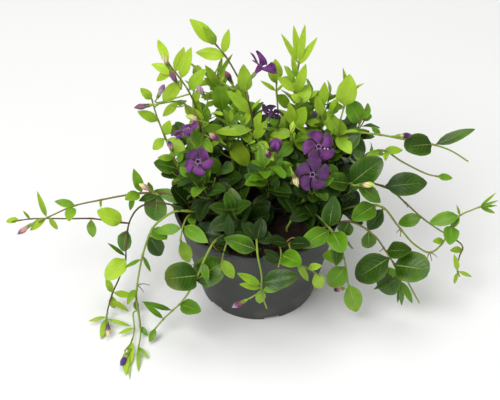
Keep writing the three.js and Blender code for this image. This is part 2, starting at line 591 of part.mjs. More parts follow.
// The wanted leaves of one stem: pairs set across the stem and turned a quarter from one joint to
// the next where the stem stands up, and level pairs where it lies or hangs.
function leavesOf(stem, route) {
  const leaves = [];
  const [long, wide, longLast, wideLast] = stem.leaf;
  const pair = (share, age, open, size) => {
    const root = route.at(share);
    const ahead = route.along(share);
    const level = ahead.clone().cross(UP);
    if (level.length() < 0.05) level.set(1, 0, 0);
    level.normalize();
    const upright = ahead.z > 0.6;
    const across = level.clone();
    if (upright) across.applyAxisAngle(ahead, 0.7 + (Math.PI / 2) * (leaves.length / 2));
    const lift = upright ? 0 : 0.25;
    for (const sign of [1, -1]) {
      const out = across.clone().multiplyScalar(sign);
      const way = ahead.clone().multiplyScalar(Math.cos(open));
      way.addScaledVector(out, Math.sin(open)).addScaledVector(UP, lift).normalize();
      const along = Math.max(0, ahead.z) * 0.6;
      const face = UP.clone().multiplyScalar(1 - along).addScaledVector(ahead, along);
      face.addScaledVector(out, -0.25);
      leaves.push({
        root: root.clone().addScaledVector(out, ROOT_OFFSET),
        ahead: way,
        face,
        long: size * (long + (longLast - long) * age),
        wide: size * (wide + (wideLast - wide) * age),
      });
    }
  };
  for (let i = 0; i < stem.pairs; i++) {
    const age = stem.pairs > 1 ? i / (stem.pairs - 1) : 0;
    const share = stem.from + ((stem.to ?? 0.93) - stem.from) * age ** 0.9;
    pair(share, age, 1.05 - 0.35 * age, 1);
  }
  if (stem.tip !== "cut" && stem.pairs) pair(0.99, 1, 0.35, 0.8);
  for (const [share, tip, width] of stem.marked ?? []) {
    const root = route.at(share);
    const ahead = vec(...tip).sub(root);
    const length = ahead.length();
    ahead.normalize();
    leaves.push({ root, ahead, face: MARKED_FACE.clone(), long: length, wide: width, marked: true });
  }
  return leaves;
}

// Everything placed so far, for keeping the next leaf clear of it.
const placed = [];
function place(owner, solid) {
  placed.push({ owner, solid, box: solid.boundingBox() });
  return solid;
}
function apart(a, b) {
  return [0, 1, 2].some((k) => a.min[k] > b.max[k] || b.min[k] > a.max[k]);
}
function isClear(solid, others) {
  const box = solid.boundingBox();
  return others.every((o) => apart(box, o.box) || solid.intersect(o.solid).numTri() === 0);
}

// The first place where a leaf crosses nothing, or nothing if it has no such place.
function settle(leaf, owner, seed) {
  for (const spot of leafPlaces(leaf, seed)) {
    const wide = leafSolid(spot, LEAF_CLEARANCE);
    if (wide.boundingBox().min[2] < SURFACE_CLEARANCE) continue;
    if (!isClear(wide, placed.filter((o) => o.owner !== owner))) continue;
    const outer = leafSolid(spot, LEAF_CLEARANCE, 0.2);
    if (!isClear(outer, placed.filter((o) => o.owner === owner))) continue;
    return spot;
  }
  return null;
}

function lathe(profile, sides) {
  const points = profile.map(([r, z]) => new THREE.Vector2(r, z));
  return solidOf(new THREE.LatheGeometry(points, sides).rotateX(Math.PI / 2));
}

function cylinder(radius, low, high, x, y, sides) {
  const shape = new THREE.CylinderGeometry(radius, radius, high - low, sides);
  shape.rotateX(Math.PI / 2).translate(x, y, (low + high) / 2);
  return solidOf(shape);
}

const POT_SLOPE = (POT_RIM_RADIUS - RIM_BAND[1] - POT_BASE_RADIUS) / POT_HEIGHT;
const potRadius = (z) => POT_BASE_RADIUS + POT_SLOPE * z;

// The pot: a tapered wall with a stepped band at the rim, a raised floor on a foot ring with six
// notches, a flat pad in the middle and a drain hole behind each notch.
function potSolid() {
  const band = POT_HEIGHT - RIM_BAND[0];
  let pot = lathe(
    [
      [0, 0],
      [CENTRE_PAD, 0],
      [CENTRE_PAD, FLOOR_UNDERSIDE],
      [FOOT_RING_INNER, FLOOR_UNDERSIDE],
      [FOOT_RING_INNER, 0],
      [POT_BASE_RADIUS, 0],
      [potRadius(band), band],
      [POT_RIM_RADIUS, band + 0.4],
      [POT_RIM_RADIUS, POT_HEIGHT],
      [potRadius(POT_HEIGHT) - POT_WALL, POT_HEIGHT],
      [potRadius(FLOOR_TOP) - POT_WALL, FLOOR_TOP],
      [0, FLOOR_TOP],
    ],
    POT_SIDES,
  );
  for (let i = 0; i < DRAINS; i++) {
    const angle = THREE.MathUtils.degToRad(FIRST_NOTCH_ANGLE + (360 / DRAINS) * i);
    const [x, y] = [Math.cos(angle), Math.sin(angle)];
    const notch = new THREE.BoxGeometry(FOOT_NOTCH_LENGTH, FOOT_NOTCH_WIDTH, 2 * FLOOR_UNDERSIDE);
    notch.rotateZ(angle).translate(FOOT_NOTCH_CIRCLE * x, FOOT_NOTCH_CIRCLE * y, 0);
    pot = pot.subtract(solidOf(notch));
    pot = pot.subtract(cylinder(DRAIN_RADIUS, 0, 9, DRAIN_CIRCLE * x, DRAIN_CIRCLE * y, 6));
  }
  return pot;
}

// The soil fills the pot to a few millimetres under the rim. Its top is a low, lumpy mound.
function soilSolid(feet) {
  const random = randomFrom(11);
  const inner = (z) => potRadius(z) - POT_WALL - GAP - 0.2;
  const ring = (radius, height) =>
    circle(vec(0, 0, 0), UP, vec(0, 1, 0), radius, SOIL_SIDES).map((p) => p.setZ(height()));
  const lump = () => SOIL_LUMPS * (2 * random() - 1);
  const low = FLOOR_TOP + GAP;
  const edge = SOIL_TOP - 2;
  const rings = [ring(0, () => low), ring(inner(low), () => low)];
  rings.push(ring(inner(edge), () => edge + 0.5 * lump()));
  for (const share of [0.8, 0.52, 0.26])
    rings.push(ring(share * inner(edge), () => SOIL_TOP + SOIL_MOUND * (1 - share) + lump()));
  rings.push(ring(0, () => SOIL_TOP + SOIL_MOUND));
  let soil = skin(rings);
  for (const { x, y, radius } of feet)
    soil = soil.subtract(cylinder((radius + GAP) * 1.42, FOOT_DEPTH - GAP, SOIL_TOP + 12, x, y, 4));
  return soil;
}

// A flower: a narrow tube that opens into five slant-cut petals, set like the blades of a propeller.
// Each petal has four points of the outline: the gap before it, its two corners and one between.
function bloomSolid(head) {
  const { centre, facing, radius, turn, flare } = head;
  const across = sideOf(facing);
  const other = facing.clone().cross(across);
  const outline = [
    [0, 0.26],
    [0.16, 0.86],
    [0.5, 1],
    [0.84, 0.8],
  ];
  const ring = (size, rise) =>
    Array.from({ length: 20 }, (_, k) => {
      const [share, reach] = outline[k % 4];
      const angle = turn + (2 * Math.PI * (Math.floor(k / 4) + share)) / 5;
      const r = size(reach);
      return centre
        .clone()
        .addScaledVector(across, r * Math.cos(angle))
        .addScaledVector(other, r * Math.sin(angle))
        .addScaledVector(facing, rise + flare * Math.max(0, r - 3));
    });
  return skin([
    ring(() => 0.9, -TUBE_LENGTH),
    ring(() => 2.6, -0.9),
    ring((reach) => reach * radius, 0),
    ring(() => 1.6, 0),
    ring(() => 0, -0.1),
  ]);
}

// A direction square to the given one.
function sideOf(facing) {
  return facing.clone().cross(Math.abs(facing.z) > 0.9 ? vec(0, 1, 0) : UP).normalize();
}

// A bud is a slim spindle, twisted to a point.
function budSolid({ base, facing }) {
  const side = sideOf(facing);
  return skin(
    [
      [0, 0.9],
      [0.3, 1.5],
      [0.68, 2],
      [1, 0.35],
    ].map(([share, radius]) => {
      side.applyAxisAngle(facing, 0.35);
      return circle(base.clone().addScaledVector(facing, share * BUD_LENGTH), facing, side, radius, 5);
    }),
  );
}

// The stalk from the stem to a flower or bud, ending in the small green cup that holds it.
function stalkSolid(root, { base, facing, green }) {
  const cup = base.clone().addScaledVector(facing, -GAP - CALYX_LENGTH);
  const before = cup.clone().addScaledVector(facing, -4);
  const stalk = rod(routeOf([root, before, cup]), 0.6, 0.5, 3);
  const reach = CALYX_LENGTH + (green ? GAP + 0.5 : 0);
  const side = sideOf(facing);
  return stalk.add(
    skin([
      circle(cup.clone().addScaledVector(facing, -0.6), facing, side, 0.6, 5),
      circle(cup.clone().addScaledVector(facing, reach), facing, side, 1.3, 5),
    ]),
  );
}

const material = (colour, roughness) =>
  new THREE.MeshStandardMaterial({ color: colour, roughness, metalness: 0 });
const OLD_GREEN = new THREE.Color(0x3c6a1f);
const YOUNG_GREEN = new THREE.Color(0x8db83c);

// Every stem with its arms, each with its route and thickness. An arm starts inside its stem.
const stems = Object.entries(STEMS).map(([name, stem]) => {
  const [x, y] = stem.route[0];
  const route = routeOf([vec(x, y, SOIL_TOP + 5), ...stem.route.slice(1).map((p) => vec(...p))]);
  const thick = route.length > 110 ? 1.15 : 1;
  const twigs = [{ ...stem, route, thick, thin: 0.65, foot: vec(x, y, FOOT_DEPTH) }];
  for (const arm of stem.arms ?? []) {
    const start = route.at(arm.at);
    const way = routeOf([start, ...arm.route.map((p) => vec(...p))]);
    twigs.push({ ...arm, route: way, thick: 0.75, thin: 0.6 });
  }
  return { name: "stem_" + name, foot: { x, y, radius: thick }, twigs, tone: stem.tone, body: null };
});
for (const stem of stems)
  for (const twig of stem.twigs) {
    const stretch = rod(twig.route, twig.thick, twig.thin, STEM_SIDES, twig.foot);
    place(stem.name, stretch);
    stem.body = stem.body ? stem.body.add(stretch) : stretch;
  }

// The largest body alone, which drops a loose scrap and fills a hollow sealed in by joining.
const whole = (solid) => solid.decompose().reduce((a, b) => (b.volume() > a.volume() ? b : a));

const plant = new THREE.Group();
function show(name, solid, look) {
  const mesh = new THREE.Mesh(geometryOf(whole(solid)), look);
  mesh.name = name;
  plant.add(mesh);
}

show("pot", place("pot", potSolid()), material(0x464846, 0.6));
show("soil", place("soil", soilSolid(stems.map((stem) => stem.foot))), material(0x2a221c, 0.95));

// The flowers and buds come before the leaves, which keep clear of them.
const twigOf = (head) => {
  const stem = stems.find(({ name }) => name === "stem_" + head.stem);
  return { stem, twig: stem.twigs[head.arm === undefined ? 0 : head.arm + 1] };
};
const headOf = (head, depth) => {
  const facing = vec(...head.facing).normalize();
  const centre = vec(...head.centre);
  return { ...head, facing, centre, base: centre.clone().addScaledVector(facing, -depth) };
};
Object.entries(BLOOMS).forEach(([name, spec], i) => {
  const { stem, twig } = twigOf(spec);
  const head = headOf({ ...spec, turn: 0.4 + 0.9 * i }, TUBE_LENGTH);
  stem.body = stem.body.add(place(stem.name, stalkSolid(twig.route.at(head.at), head)));
  show(name, place(name, bloomSolid(head)), material(0x5a2478, 0.5));
});
for (const [name, spec] of Object.entries(BUDS)) {
  const { stem, twig } = twigOf(spec);
  const head = headOf(spec, BUD_LENGTH / 2);
  stem.body = stem.body.add(place(stem.name, stalkSolid(twig.route.at(head.at), head)));
  if (spec.green) stem.body = stem.body.add(place(stem.name, budSolid(head)));
  else show(name, place(name, budSolid(head)), material(0x8a5aa0, 0.5));
}

// The leaves, those marked one by one before the pairs.
const wanted = stems.flatMap((stem, s) =>
  stem.twigs.flatMap((twig, t) =>
    leavesOf(twig, twig.route).map((leaf, i) => ({ stem, leaf, seed: 7919 * (s + 1) + 977 * t + 31 * i })),
  ),
);
for (const marked of [true, false])
  for (const { stem, leaf, seed } of wanted.filter(({ leaf }) => Boolean(leaf.marked) === marked)) {
    const spot = settle(leaf, stem.name, seed);
    if (spot) stem.body = stem.body.add(place(stem.name, leafSolid(spot)));
  }
for (const stem of stems) {
  const green = OLD_GREEN.clone().lerp(YOUNG_GREEN, stem.tone);
  show(stem.name, stem.body, material(green, 0.45));
}

export default plant;
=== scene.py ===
"""Potted periwinkle with wine-purple flowers: the visible pieces that stand round the packed solids.

Blender 4.5. The frame is the packed model, in metres, with its origin under the middle of the pot,
+Z up and -Y towards the front. Lengths in the tables are millimetres, as in the part's own source.
"""

import itertools
import json
import math
from dataclasses import dataclass, replace

import bmesh
import bpy
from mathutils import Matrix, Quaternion, Vector, kdtree


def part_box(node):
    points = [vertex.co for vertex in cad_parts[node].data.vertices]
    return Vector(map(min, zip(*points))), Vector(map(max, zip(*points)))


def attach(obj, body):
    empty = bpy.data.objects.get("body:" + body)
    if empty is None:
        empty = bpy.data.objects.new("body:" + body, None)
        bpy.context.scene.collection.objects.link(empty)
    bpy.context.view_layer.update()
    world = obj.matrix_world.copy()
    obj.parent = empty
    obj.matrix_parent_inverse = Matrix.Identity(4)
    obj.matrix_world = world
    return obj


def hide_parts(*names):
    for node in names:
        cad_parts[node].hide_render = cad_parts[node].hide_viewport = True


bl_info = {
    "name": "Potted Periwinkle",
    "version": (1, 0, 0),
    "blender": (4, 5, 0),
    "location": "3D View > Sidebar > Periwinkle",
    "description": "Pot, soil, leafy stems, flowers and buds of a potted periwinkle",
    "category": "Add Mesh",
}

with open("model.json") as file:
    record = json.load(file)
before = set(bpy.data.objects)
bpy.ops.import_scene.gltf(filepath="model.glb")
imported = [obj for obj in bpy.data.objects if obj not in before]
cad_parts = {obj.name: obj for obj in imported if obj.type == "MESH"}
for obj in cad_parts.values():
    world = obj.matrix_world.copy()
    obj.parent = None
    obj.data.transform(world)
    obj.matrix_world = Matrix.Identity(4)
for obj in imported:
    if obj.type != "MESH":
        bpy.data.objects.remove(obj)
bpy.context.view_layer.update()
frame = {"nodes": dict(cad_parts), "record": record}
SLOTS = {part["node"]: part["material_slot"] for part in frame["record"]["subparts"]}
POT_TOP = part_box("pot")[1].z
MM = 0.001
UP = Vector((0, 0, 1))


@dataclass
class Twig:
    """One stem, arm or side shoot: a route in millimetres with its leaves.

    Pairs of leaves stand from the share start of the route to the share to. leaf is the length and
    width of the first leaf and of the last. tone runs from old dark green at 0 to young lime green
    at 1. A stem that isn't cut ends in a pair of young leaves. marked leaves are (share of the
    route, tip, width) and, if it differs, the tone. small leaves, which only the visible plant has,
    are (twig, share, tip, width). A bare node is its share, then how far each reddish rootlet
    reaches from it. bark is how green it is, from brown at 0 to fresh green at 1, and how red.
    shoots is how many side shoots there are, their first and last share, and their length. at is
    where an arm leaves its stem. The rest is filled in for the plant: the route in space, the
    radius at its start and end, and where the foot of a stem stands in the soil.
    """

    route: tuple
    start: float
    pairs: int
    leaf: tuple
    tone: float
    to: float = 0.93
    cut: bool = True
    bark: tuple = (0.4, 0.1)
    shoots: tuple = (0, 0, 0, 0)
    marked: tuple = ()
    small: tuple = ()
    bare: tuple = ()
    arms: tuple = ()
    at: float = 0.0
    way: object = None
    thick: float = 1.0
    thin: float = 0.65
    foot: tuple = None


def arm(at, tone, route, marked=()):
    """A side arm without pairs of leaves, which leaves its stem at a share of the stem's route."""
    return Twig(route, 1, 0, (0, 0, 0, 0), tone, marked=marked, at=at)


# The stems are those of the part's source, and so are their numbers.
STEMS = {
    "left_long": Twig(
        (
            (-34, 6), (-53, -14, 95), (-68, -8, 98), (-84, -8, 99), (-101, -10, 98), (-119, -13, 96),
            (-138, -16, 93), (-153, -20, 88), (-165, -22, 82),
        ),
        0.15, 1, (24, 14, 12, 4), 0.55, bark=(0.35, 0.75),
        marked=(
            (0.2, (-78, -10, 103), 9, 0.3), (0.36, (-91, -8, 91), 6), (0.37, (-80, -8, 67), 17, 0.3),
            (0.4, (-82, -8, 109), 4), (0.45, (-92, -8, 121), 7), (0.46, (-98, -20, 104), 8, 0.6),
            (0.49, (-98, -9, 80), 4), (0.79, (-152, -16, 98), 6), (0.81, (-140, -32, 94), 8),
            (0.95, (-163, -21, 110), 4), (0.95, (-174, -21, 72), 5), (0.94, (-151, -20, 71), 4),
        ),
        small=((0, 0.66, (-117, -24, 100), 2),),
        bare=((0.52, (0, -1, -4)),),
    ),
    "left_hanging": Twig(
        (
            (-43, -5), (-55, -18, 93), (-72, -13, 93), (-89, -9, 86), (-98, -11, 72), (-101, -18, 54),
            (-102, -22, 41),
        ),
        0.15, 1, (24, 16, 20, 10), 0.15, bark=(0.14, 0.3),
        marked=((0.75, (-106, -13, 40), 11, 0.25), (0.98, (-116, -38, 38), 13, 1.05)),
        small=(
            (0, 0.96, (-114, -21, 59), 3), (1, 0.84, (-177, -13, 85), 2), (2, 0.85, (-131, -51, 5), 3),
            (2, 0.88, (-98, -56, 5), 3),
        ),
        bare=((0.45, (-3, -2, -4)), (0.86,)),
        arms=(
            arm(
                0.7, 0.7, (
                    (-112, -14, 75), (-124, -15, 79), (-143, -15, 79), (-172, -13, 77), (-187, -13, 74),
                ),
                ((0.06, (-122, -13, 83), 12, 0.85), (0.33, (-127, -15, 57), 7), (0.93, (-195, -13, 72), 5)),
            ),
            arm(
                1, 0.8, ((-107, -29, 30), (-113, -37, 19), (-117, -47, 7), (-117, -56, 5)),
                (
                    (0.5, (-116, -36, 36), 5), (0.49, (-96, -36, 17), 5), (0.53, (-112, -37, 2), 6),
                    (0.6, (-100, -39, 3), 4), (0.87, (-120, -67, 4), 5),
                ),
            ),
        ),
    ),
    "left_falling": Twig(
        (
            (-30, -14), (-50, -22, 93), (-62, -23, 94), (-72, -25, 88), (-79, -26, 80), (-86, -28, 61),
            (-90, -31, 45), (-93, -35, 28), (-94, -40, 16), (-92, -49, 7), (-90, -64, 5), (-91, -81, 5),
        ),
        0.1, 1, (24, 16, 13, 5), 0.35, bark=(0.8, 0.05),
        marked=(
            (0.15, (-35, -21, 108), 7), (0.35, (-69, -41, 84), 10, 0.35), (0.39, (-73, -27, 50), 12, 0.12),
            (0.68, (-103, -36, 10), 8), (0.73, (-95, -40, 4), 4), (0.86, (-85, -64, 3), 4),
        ),
        small=(
            (1, 0.97, (-99, -103, 4), 5), (0, 0.17, (-65, -22, 99), 3), (0, 0.5, (-82, -29, 34), 3),
            (0, 0.52, (-103, -30, 42), 3), (0, 0.98, (-90, -99, 3), 3), (0, 0.98, (-83, -87, 3), 3),
            (1, 0.4, (-107, -64, 5), 3), (1, 0.89, (-96, -107, 3), 2),
        ),
        bare=((0.66, (10, -2, 2), (5, -3, -5)), (0.72, (4, -18, -12))),
        arms=(
            arm(
                0.78, 0.9, ((-96, -46, 10), (-95, -60, 5), (-97, -74, 5), (-101, -83, 6)),
                ((0.69, (-97, -96, 4), 5),),
            ),
        ),
    ),
    "front_left_falling": Twig(
        (
            (-20, -32), (-33, -56, 93), (-39, -63, 85), (-45, -66, 69), (-51, -65, 53), (-58, -63, 38),
            (-65, -61, 27), (-72, -61, 18), (-80, -64, 8),
        ),
        0.12, 2, (24, 15, 14, 6), 0.25, to=0.35, bark=(0.75, 0.05),
        marked=(
            (0.45, (-66, -80, 81), 20, 0.12), (0.49, (-31, -66, 84), 20, 0.12),
            (0.73, (-44, -75, 42), 11, 0.35), (0.81, (-87, -62, 38), 4), (0.9, (-85, -62, 35), 4),
            (0.98, (-83, -72, 4), 5),
        ),
    ),
    "left_cluster": Twig(
        ((-42, -20), (-52, -29, 95), (-56, -38, 92), (-58, -45, 83)),
        1, 0, (24, 13, 17, 8), 0.6, bark=(0.55, 0.1),
        marked=(
            (0.73, (-77, -38, 88), 8, 0.5), (0.69, (-38, -54, 93), 10, 0.5),
            (0.94, (-51, -43, 57), 9, 0.75), (0.39, (-48, -39, 96), 6),
        ),
    ),
    "upper_left_outer": Twig(
        (
            (-38, 16), (-50, -2, 104), (-58, -6, 118), (-64, -3, 134), (-69, -1, 149), (-74, 2, 165),
            (-77, 3, 180),
        ),
        0.1, 2, (24, 13, 15, 6), 0.65, to=0.35, bark=(0.35, 0.15), shoots=(3, 0.25, 0.5, 13),
        marked=(
            (0.99, (-84, 3, 189), 6), (0.82, (-87, 1, 170), 7), (0.71, (-65, -1, 162), 7),
            (0.69, (-79, -1, 135), 7), (0.68, (-54, -11, 144), 9), (0.53, (-74, -7, 133), 5),
            (0.44, (-76, -10, 131), 11),
        ),
    ),
    "upper_left_tall": Twig(
        (
            (-24, 20), (-41, 15, 129), (-45, 14, 159), (-51, 11, 181), (-57, 14, 190), (-62, 17, 196),
            (-66, 20, 201),
        ),
        0.12, 2, (26, 14, 18, 7), 0.8, to=0.42, bark=(0.25, 0.15), shoots=(7, 0.3, 0.85, 15),
        marked=(
            (0.98, (-74, 43, 205), 6), (0.91, (-73, 16, 206), 7), (0.94, (-75, 17, 185), 6),
            (0.87, (-49, 13, 216), 8), (0.92, (-50, 16, 213), 7), (0.79, (-39, 12, 199), 9),
            (0.56, (-43, 14, 172), 6), (0.69, (-47, 12, 184), 5),
        ),
    ),
    "upper_left_mid": Twig(
        (
            (-28, 8), (-40, -1, 127), (-41, 5, 152), (-49, 9, 165), (-58, 18, 165), (-69, 22, 161),
            (-75, 24, 158),
        ),
        0.12, 2, (26, 14, 16, 7), 0.75, to=0.42, bark=(0.35, 0.2), shoots=(7, 0.3, 0.8, 16),
        marked=(
            (0.96, (-57, 22, 181), 10), (0.84, (-72, 17, 152), 6), (0.8, (-46, 14, 150), 6),
            (0.75, (-39, 10, 155), 4), (0.56, (-54, 4, 134), 10), (0.53, (-48, -15, 143), 10),
            (0.39, (-27, 0, 111), 10),
        ),
    ),
    "top_whip": Twig(
        (
            (-4, 14), (-4, 9, 127), (-4, 12, 145), (-6, 14, 161), (-10, 18, 174), (-18, 22, 191),
            (-24, 25, 201), (-33, 27, 213),
        ),
        0.1, 2, (26, 13, 20, 9), 0.8, to=0.34, bark=(0.15, 0.15), shoots=(5, 0.2, 0.5, 15),
        marked=(
            (0.98, (-48, 28, 231), 10), (0.91, (-22, 24, 224), 6), (0.89, (-45, 24, 206), 9),
            (0.97, (-38, 20, 229), 7), (0.66, (-11, 17, 198), 10), (0.54, (-22, 14, 178), 8),
            (0.44, (-33, 11, 143), 8), (0.44, (1, 11, 160), 6), (0.38, (0, 10, 158), 7),
        ),
        small=((0, 0.56, (1, 14, 171), 2),),
    ),
    "top_left_shoot": Twig(
        ((-12, 5), (-23, 15, 130), (-26, 23, 154), (-29, 29, 168), (-30, 32, 182)),
        0.12, 3, (27, 14, 18, 7), 0.7, to=0.6, shoots=(8, 0.3, 0.85, 16),
        marked=(
            (0.71, (-30, 21, 176), 12), (0.86, (-39, 28, 179), 6), (0.88, (-38, 29, 189), 6),
            (0.9, (-30, 30, 190), 5), (0.5, (-39, 16, 144), 10), (0.47, (-7, 15, 105), 13, 1.0),
        ),
        small=((0, 0.98, (-27, 32, 194), 3), (0, 0.96, (-20, 31, 198), 3)),
    ),
    "top_center_shoot": Twig(
        ((8, 20), (14, 16, 132), (14, 20, 156), (13, 26, 168), (13, 29, 180)),
        0.12, 2, (26, 13, 20, 8), 0.7, to=0.5, bark=(0.45, 0.1), shoots=(4, 0.3, 0.6, 14),
        marked=(
            (0.96, (12, 28, 195), 9), (0.94, (8, 27, 189), 5), (0.86, (24, 25, 153), 8),
            (0.57, (5, 17, 127), 8),
        ),
        small=((0, 0.88, (2, 25, 179), 3), (0, 0.88, (18, 25, 176), 2)),
    ),
    "top_tuft": Twig(
        ((20, 22), (25, 12, 134), (28, 17, 163), (27, 21, 176), (28, 24, 187), (29, 26, 197)),
        0.12, 3, (26, 13, 20, 8), 0.75, to=0.68, bark=(0.45, 0.1), shoots=(7, 0.3, 0.8, 16),
        marked=(
            (0.97, (17, 26, 219), 4), (0.99, (25, 30, 223), 5), (0.98, (32, 24, 227), 5),
            (0.96, (40, 24, 217), 5), (0.79, (14, 20, 186), 7), (0.87, (24, 23, 202), 4),
            (0.83, (19, 21, 195), 4), (0.77, (33, 19, 197), 7), (0.54, (33, 10, 165), 11),
            (0.54, (22, 13, 169), 7), (0.5, (8, 13, 138), 8), (0.45, (41, 12, 122), 8),
        ),
    ),
    "top_right_shoot": Twig(
        ((29, 11), (44, 12, 122), (47, 19, 142), (47, 23, 155), (48, 26, 165)),
        0.12, 3, (26, 13, 19, 8), 0.7, to=0.7, bark=(0.45, 0.1), shoots=(7, 0.3, 0.85, 16),
        marked=(
            (0.9, (48, 24, 177), 7), (0.8, (42, 21, 168), 7), (0.76, (67, 20, 137), 11),
            (0.74, (35, 18, 146), 6),
        ),
    ),
    "top_right_leafy": Twig(
        ((36, 20), (56, 12, 126), (60, 14, 151), (63, 18, 163), (65, 20, 174)),
        0.12, 3, (26, 13, 20, 9), 0.7, to=0.6, bark=(0.45, 0.1), shoots=(6, 0.3, 0.8, 15),
        marked=((0.86, (66, 17, 189), 14), (0.62, (67, -6, 137), 10)),
        small=((0, 0.98, (61, 20, 193), 3), (0, 0.98, (76, 20, 181), 2)),
    ),
    "right_dark_leaf": Twig(
        ((43, 10), (66, 19, 120), (73, 19, 138), (77, 21, 147), (81, 24, 152)),
        0.12, 2, (26, 15, 20, 11), 0.3, to=0.45, bark=(0.3, 0.2), shoots=(4, 0.3, 0.8, 15),
        marked=((0.87, (67, 21, 162), 13), (0.91, (82, 22, 154), 4), (0.66, (81, 19, 111), 11)),
    ),
    "right_cut": Twig(
        (
            (33, -2), (53, 6, 126), (67, 9, 142), (85, 4, 146), (109, 2, 142), (127, 2, 138), (141, 1, 133),
            (155, -1, 124),
        ),
        0.12, 2, (26, 14, 20, 10), 0.2, to=0.4, bark=(0.55, 0.1), shoots=(2, 0.2, 0.35, 15),
        marked=(
            (0.42, (80, 4, 129), 9, 0.1), (0.57, (83, 13, 146), 4), (0.48, (59, 7, 128), 10, 0.15),
            (0.81, (107, -9, 146), 16, 0.05), (0.82, (157, 2, 153), 8, 0.15),
        ),
    ),
    "right_arching": Twig(
        ((42, -10), (69, 6, 110), (83, 7, 126), (93, 4, 130), (106, 4, 120), (126, 2, 109), (136, 2, 106)),
        0.15, 2, (25, 14, 13, 5), 0.55, to=0.5, bark=(0.4, 0.35), shoots=(2, 0.2, 0.35, 15),
        marked=(
            (0.57, (77, 5, 122), 6), (0.59, (107, 5, 130), 6), (0.61, (93, -7, 131), 4),
            (0.98, (146, 2, 105), 5),
        ),
    ),
    "right_long_dark": Twig(
        (
            (31, -18), (60, -5, 96), (76, 1, 103), (88, 2, 99), (100, 2, 93), (112, -1, 82), (125, -3, 69),
            (139, -5, 58), (151, -7, 51),
        ),
        0.15, 1, (25, 15, 17, 8), 0.25, bark=(0.35, 0.15),
        marked=((0.5, (127, 2, 101), 17, 0.05), (0.78, (107, -3, 63), 10, 0.4)),
        small=((1, 0.88, (153, -20, 12), 3), (1, 0.88, (167, -20, 22), 3)),
        bare=((0.42,), (0.49, (-3, -2, 3)), (0.65, (2, -2, -3))),
        arms=(
            arm(
                0.98, 0.8, ((158, -9, 44), (156, -12, 37), (154, -18, 30), (156, -23, 25)),
                ((0.41, (148, -17, 48), 5), (0.88, (151, -20, 45), 4)),
            ),
        ),
    ),
    "right_rising": Twig(
        (
            (45, -23), (70, -18, 94), (92, -16, 92), (104, -23, 80), (117, -29, 66), (129, -33, 61),
            (138, -29, 66), (144, -22, 76), (150, -18, 84), (162, -14, 88), (172, -11, 90),
        ),
        0.12, 1, (23, 13, 14, 5), 0.45, bark=(0.55, 0.25),
        marked=(
            (0.28, (70, -36, 99), 14, 0.3), (0.32, (82, -17, 67), 11, 0.12), (0.72, (131, -32, 72), 5),
            (0.8, (142, -41, 79), 11, 0.35), (0.86, (128, -19, 79), 10), (0.86, (145, -18, 71), 5),
        ),
        small=(
            (0, 0.86, (148, -18, 95), 2), (0, 0.96, (176, -13, 103), 2), (0, 0.96, (179, -13, 96), 2),
            (0, 0.96, (179, -13, 91), 2), (0, 0.96, (179, -13, 83), 3),
        ),
        bare=((0.45, (0, -2, -6), (-3, 0, -4)), (0.63, (2, -3, -6), (6, -2, -3), (-2, -4, -4))),
    ),
    "right_falling": Twig(
        (
            (36, -36), (66, -34, 94), (85, -38, 84), (93, -42, 74), (100, -44, 62), (106, -46, 48),
            (109, -49, 37),
        ),
        0.12, 1, (24, 16, 22, 16), 0.1, bark=(0.35, 0.3),
        marked=(
            (0.3, (62, -38, 84), 11, 0.1), (0.45, (83, -37, 67), 11, 0.25), (0.65, (110, -54, 85), 12),
            (0.78, (125, -57, 67), 22, 0.15), (0.71, (72, -43, 42), 20, 0.08),
            (0.84, (93, -45, 28), 17, 0.12), (0.92, (111, -47, 14), 4), (0.92, (114, -47, 23), 5),
            (0.88, (94, -46, 58), 5), (0.89, (87, -46, 34), 4),
        ),
        small=((0, 0.91, (107, -47, 17), 3),),
        bare=((0.62, (-3, -2, -2)),),
        arms=(
            arm(0.72, 0, ((108, -46, 52), (116, -50, 38), (122, -53, 27)), ()),
        ),
    ),
    "right_low": Twig(
        ((48, -14), (60, -12, 104), (68, -13, 113), (80, -18, 114)),
        0.2, 1, (25, 15, 20, 10), 0.25, shoots=(3, 0.3, 0.7, 15),
        marked=(
            (0.74, (88, -16, 138), 19, 0.08), (0.71, (50, -24, 126), 13, 0.12),
            (0.82, (93, -15, 95), 10, 0.3), (0.98, (85, -18, 108), 5),
        ),
    ),
    "front_right_falling": Twig(
        (
            (21, -29), (33, -26, 104), (43, -35, 101), (54, -43, 92), (60, -48, 81), (65, -50, 62),
            (67, -54, 47),
        ),
        0.12, 2, (24, 13, 19, 9), 0.4, to=0.6, bark=(0.75, 0.1), shoots=(2, 0.2, 0.45, 13),
        marked=(
            (0.51, (30, -61, 95), 13, 0.35), (0.53, (60, -66, 96), 14, 0.35),
            (0.49, (54, -41, 123), 13, 0.12), (0.76, (48, -55, 80), 10, 0.5),
            (0.84, (55, -54, 42), 14, 0.45), (0.98, (76, -56, 17), 13, 0.6), (0.32, (23, -43, 105), 10),
        ),
    ),
    "front_hanging": Twig(
        ((-3, -34), (-2, -50, 96), (-1, -66, 91), (2, -69, 72), (2, -71, 57), (6, -72, 41)),
        0.3, 1, (24, 13, 20, 9), 0.3, bark=(0.85, 0.1),
        marked=(
            (0.2, (9, -61, 100), 10), (0.39, (-24, -63, 105), 12, 0.2), (0.74, (-15, -70, 76), 6, 0.7),
            (0.77, (-14, -71, 66), 5, 0.75), (0.77, (-1, -71, 40), 7, 0.75),
            (0.72, (28, -72, 76), 14, 0.08), (0.8, (20, -72, 66), 6, 0.6),
        ),
    ),
    "front_center_right": Twig(
        ((9, -43), (14, -56, 95), (16, -66, 91), (14, -70, 82)),
        1, 0, (28, 17, 24, 13), 0.15,
        marked=((0.75, (28, -84, 101), 13, 0.3), (0.87, (4, -67, 97), 6), (0.91, (3, -68, 91), 5)),
    ),
    "front_right_small": Twig(
